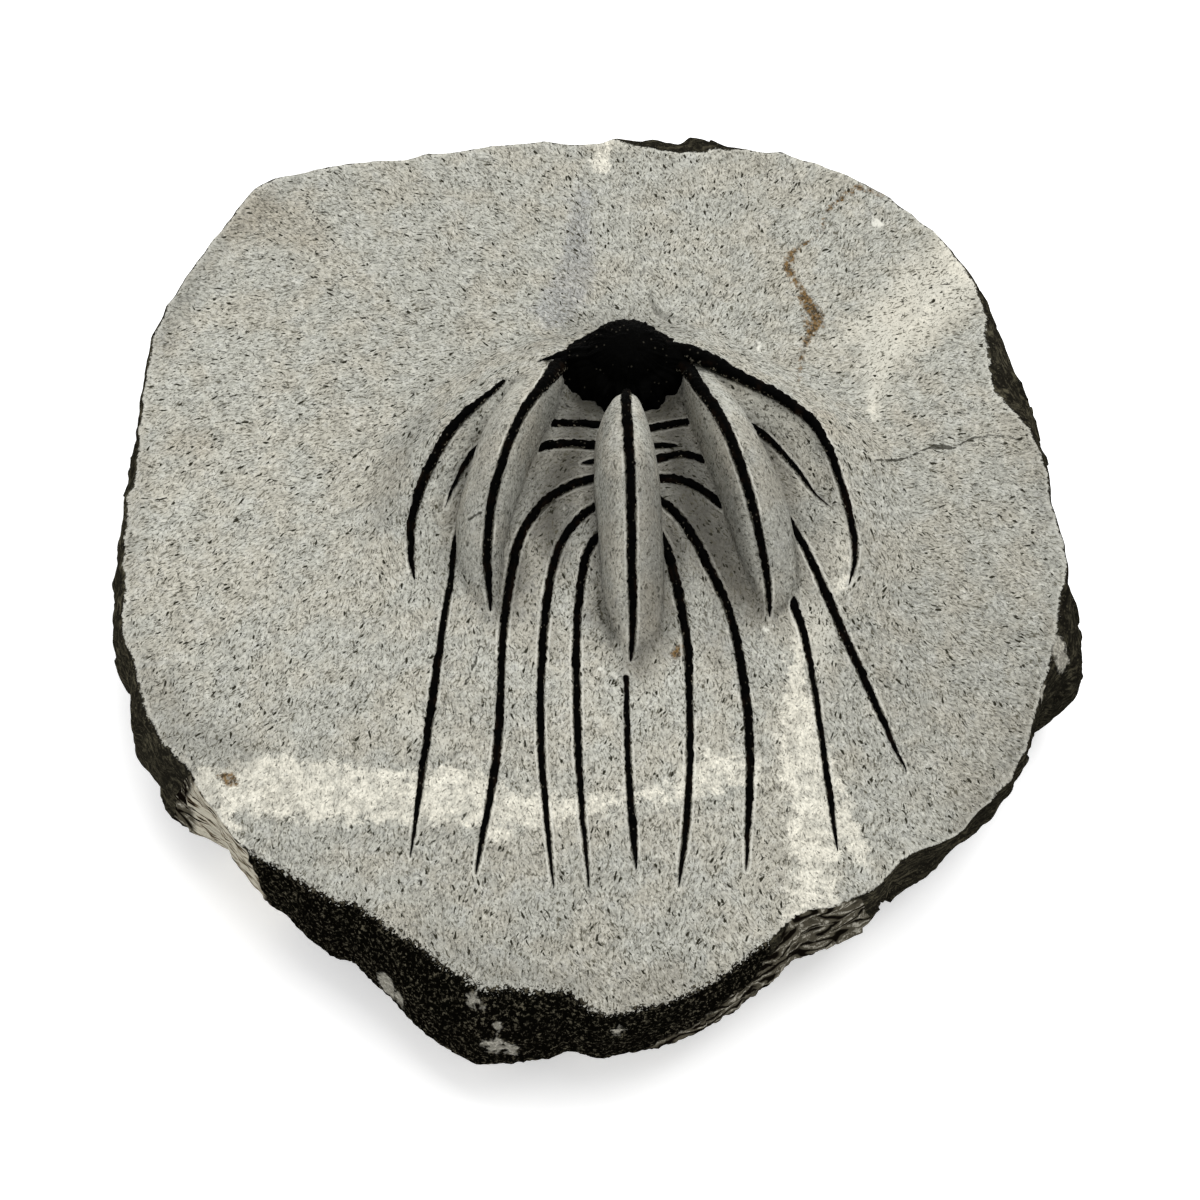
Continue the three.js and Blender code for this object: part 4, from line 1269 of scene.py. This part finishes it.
def sideColour(stone, wave):
    # olive skin, and black granular crust in front
    fibre = stone.ramp("fibre", stone.layers(stone.place, *sideStone["fibres"]))
    skin = stone.times(fibre, stone.ramp("skinPatches", stone.sideDrift))
    skin = stone.math("MAXIMUM", skin, stone.ramp("skinSpots", stone.lump))
    side = stone.blend(skin, sideStone["olive"], sideStone["oliveLight"])
    # painted light: the side is lighter where the face's tone is high and darker where it is low
    side = stone.dim(side, stone.ramp("sidePaintedLight", stone.tone))
    crust = stone.times(
        stone.ramp("crustGrain", stone.lump), stone.ramp("crustPatches", stone.sideDrift))
    crust = stone.blend(crust, sideStone["crust"], sideStone["crustGrain"])
    side = stone.blend(stone.crusty, side, crust)

    # thin wavy plates under it, with painted shade in the gaps and painted highlights on their
    # crests
    plates = stone.blend(stone.ramp("plateGaps", wave), sideStone["plateShade"], sideStone["plate"])
    plates = stone.cover(plates, stone.ramp("plateHighlights", wave),
                         stone.ramp("plateSpots", stone.lump), sideStone["plateHighlight"])

    # the straight layers of the ledge on the left with painted shade in their gaps, and pale chips
    bedding = stone.layers(stone.place, *sideStone["bedding"])
    spots = stone.ramp("ledgeSpots", bedding)
    ledge = stone.blend(spots, sideStone["ledgeSpot"], sideStone["ledge"])
    ledge = stone.blend(stone.ramp("ledgeGaps", bedding), ledge, sideStone["plateShade"])
    plates = stone.blend(stone.ramp("ledge", stone.mask("ledge")), plates, ledge)
    side = stone.blend(stone.plated, side, plates)
    chips = stone.ragged("chips", stone.ripple)["Mask"]
    return stone.cover(side, chips, stone.ramp("wornChips", stone.lump), limestone["calcite"])


def stoneRelief(stone, wave, sideMask):
    # relief in millimetres: tool marks, grain and cracks on the face, lumps and plates on the side
    relief = stone.math("ADD", stone.times(stone.strokes["Streak"], limestone["strokeDepth"]),
                        stone.times(stone.grain["Mottle"], limestone["grainDepth"]))
    relief = stone.times(relief, stone.ramp("faceOnly", sideMask))
    relief = stone.math("SUBTRACT", relief, stone.times(stone.crack, limestone["crackDepth"]))
    lumps = stone.times(stone.lump, stone.times(sideMask, limestone["sideDepth"]))
    relief = stone.math("ADD", relief, lumps)
    plates = stone.times(wave, stone.times(stone.plated, limestone["plateDepth"]))
    return stone.math("ADD", relief, plates)


def buildLimestone():
    material, stone, shader = newMaterial(
        "limestone", {"Roughness": 0.9, "Specular IOR Level": 0.0}, StoneBoard)
    strata = stone.layers(stone.place, *sideStone["plates"])
    wave = stone.math("SINE", stone.times(strata, sideStone["plateWaves"]))
    colour = addMarks(stone, addShadeAndFlecks(stone, groundColour(stone)))

    # where the face meets the side: grainy over the crust, crisp elsewhere, with a thin pale line
    fuzz = stone.math("SUBTRACT", stone.lump, sideStone["fuzzMiddle"])
    fuzz = stone.times(fuzz, stone.ramp("rimFuzz", stone.crusty))
    rim = stone.ragged("rim", stone.patchy, stone.math("ADD", stone.mask("edge"), fuzz))
    rimLine = stone.times(
        stone.ramp("rimInside", rim["Distance"]), stone.ramp("rimOutside", rim["Distance"]))
    colour = stone.cover(colour, rimLine, markCover["rimLine"], limestone["pale"])
    colour = stone.blend(rim["Mask"], colour, sideColour(stone, wave))
    stone.plug(colour, shader.inputs["Base Color"])
    stone.plug(stone.ramp("roughness", rim["Mask"]), shader.inputs["Roughness"])
    relief = stoneRelief(stone, wave, rim["Mask"])
    stone.plug(stone.bump(relief), shader.inputs["Normal"])
    return material


# the fossil's shell: a noise is its size in millimetres and its detail
shell = {
    "black": (0.0006, 0.0006, 0.0005, 1), "brown": (0.0075, 0.0042, 0.0024, 1),
    "worn": (0.22, 0.2, 0.15, 1), "grain": {"Size": 0.3, "Rarity": 0.9}, "chips": 0.12,
    "patchNoise": (1.8, 3), "patchFade": (0.5, 0.7), "dustNoise": (0.35, 2), "dustSpread": 1.6,
    "dustFade": (1.84, 2.0, 0.0, 0.7), "roughness": (0.3, 0.7, 0.5, 0.8), "relief": 0.1,
}


def buildShell():
    material, board, shader = newMaterial(
        "darkShell", {"Roughness": 0.5, "Specular IOR Level": 0.012})
    place = board.add("TexCoord").outputs["Object"]
    flank = board.mask("flank")
    grain = board.group(grainGroup, Place=place, **shell["grain"])
    patches = board.fade(board.noise(place, *shell["patchNoise"]), *shell["patchFade"])
    colour = board.blend(board.times(patches, flank), shell["black"], shell["brown"])
    # stone dust left along the flanks, and rare pale chips
    dustNoise = board.times(board.noise(place, *shell["dustNoise"]), shell["dustSpread"])
    dust = board.fade(board.math("ADD", flank, dustNoise), *shell["dustFade"])
    colour = board.blend(dust, colour, shell["worn"])
    colour = board.cover(colour, grain["Specks"], shell["chips"], shell["worn"])
    board.plug(colour, shader.inputs["Base Color"])
    board.plug(board.fade(grain["Mottle"], *shell["roughness"]), shader.inputs["Roughness"])
    relief = board.times(grain["Mottle"], shell["relief"])
    board.plug(board.bump(relief), shader.inputs["Normal"])
    return material


stoneMaterial = buildLimestone()
shellMaterial = buildShell()
print("materials built")

# each piece rides the one body and stands in for its own solid, which is hidden; the stone takes
# the limestone and the fossil the dark shell
rock.data.materials.append(stoneMaterial)
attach(rock, "root")
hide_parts("matrix")
headShell.data.materials.append(shellMaterial)
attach(headShell, "root")
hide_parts("head_shield")
for name, spine in spines.items():
    spine.data.materials.append(shellMaterial)
    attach(spine, "root")
    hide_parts(name)

# studio, in metres: pale floor, soft light from all round and a large panel overhead
studio = {
    "floor": (0.92, 0.92, 0.92, 1), "floorHalf": 1.5, "floorGlow": 0.42, "sky": 0.75,
    "panelAt": (0.25, 0.35, 1.1), "panelSize": 1.1, "panelPower": 14,
    "lookAt": (-0.0005, -0.0065, 0.020), "elevation": 60, "distance": 0.360,
    "lens": 100, "sensor": 36, "nearest": 0.01,
}
half = studio["floorHalf"]
corners = [(-half, -half, 0), (half, -half, 0), (half, half, 0), (-half, half, 0)]
floor = bpy.data.meshes.new("floor")
floor.from_pydata(corners, [], [(0, 1, 2, 3)])
floorObject = bpy.data.objects.new("floor", floor)
bpy.context.scene.collection.objects.link(floorObject)
floorMaterial = newMaterial("paleFloor", {
    "Base Color": studio["floor"], "Roughness": 0.95, "Emission Color": studio["floor"],
    "Emission Strength": studio["floorGlow"]})[0]
floor.materials.append(floorMaterial)

world = bpy.data.worlds.new("studioWorld")
world.use_nodes = True
world.node_tree.nodes["Background"].inputs["Color"].default_value = (1, 1, 1, 1)
world.node_tree.nodes["Background"].inputs["Strength"].default_value = studio["sky"]
bpy.context.scene.world = world
bpy.context.scene.view_settings.view_transform = "Standard"

panel = bpy.data.lights.new("panel", "AREA")
panel.size = studio["panelSize"]
panel.energy = studio["panelPower"]
panelObject = bpy.data.objects.new("panel", panel)
panelObject.location = studio["panelAt"]
aim = Vector(studio["lookAt"]) - panelObject.location
panelObject.rotation_euler = aim.to_track_quat("-Z", "Y").to_euler()
bpy.context.scene.collection.objects.link(panelObject)

camera = bpy.data.objects.new("camera", bpy.data.cameras.new("camera"))
camera.data.lens = studio["lens"]
camera.data.sensor_width = studio["sensor"]
camera.data.clip_start = studio["nearest"]
tilt = math.radians(studio["elevation"])
target = Vector(studio["lookAt"])
camera.location = target + Vector((0, -math.cos(tilt), math.sin(tilt))) * studio["distance"]
camera.rotation_euler = (target - camera.location).to_track_quat("-Z", "Y").to_euler()
bpy.context.scene.collection.objects.link(camera)
bpy.context.scene.camera = camera

print("scene ready")
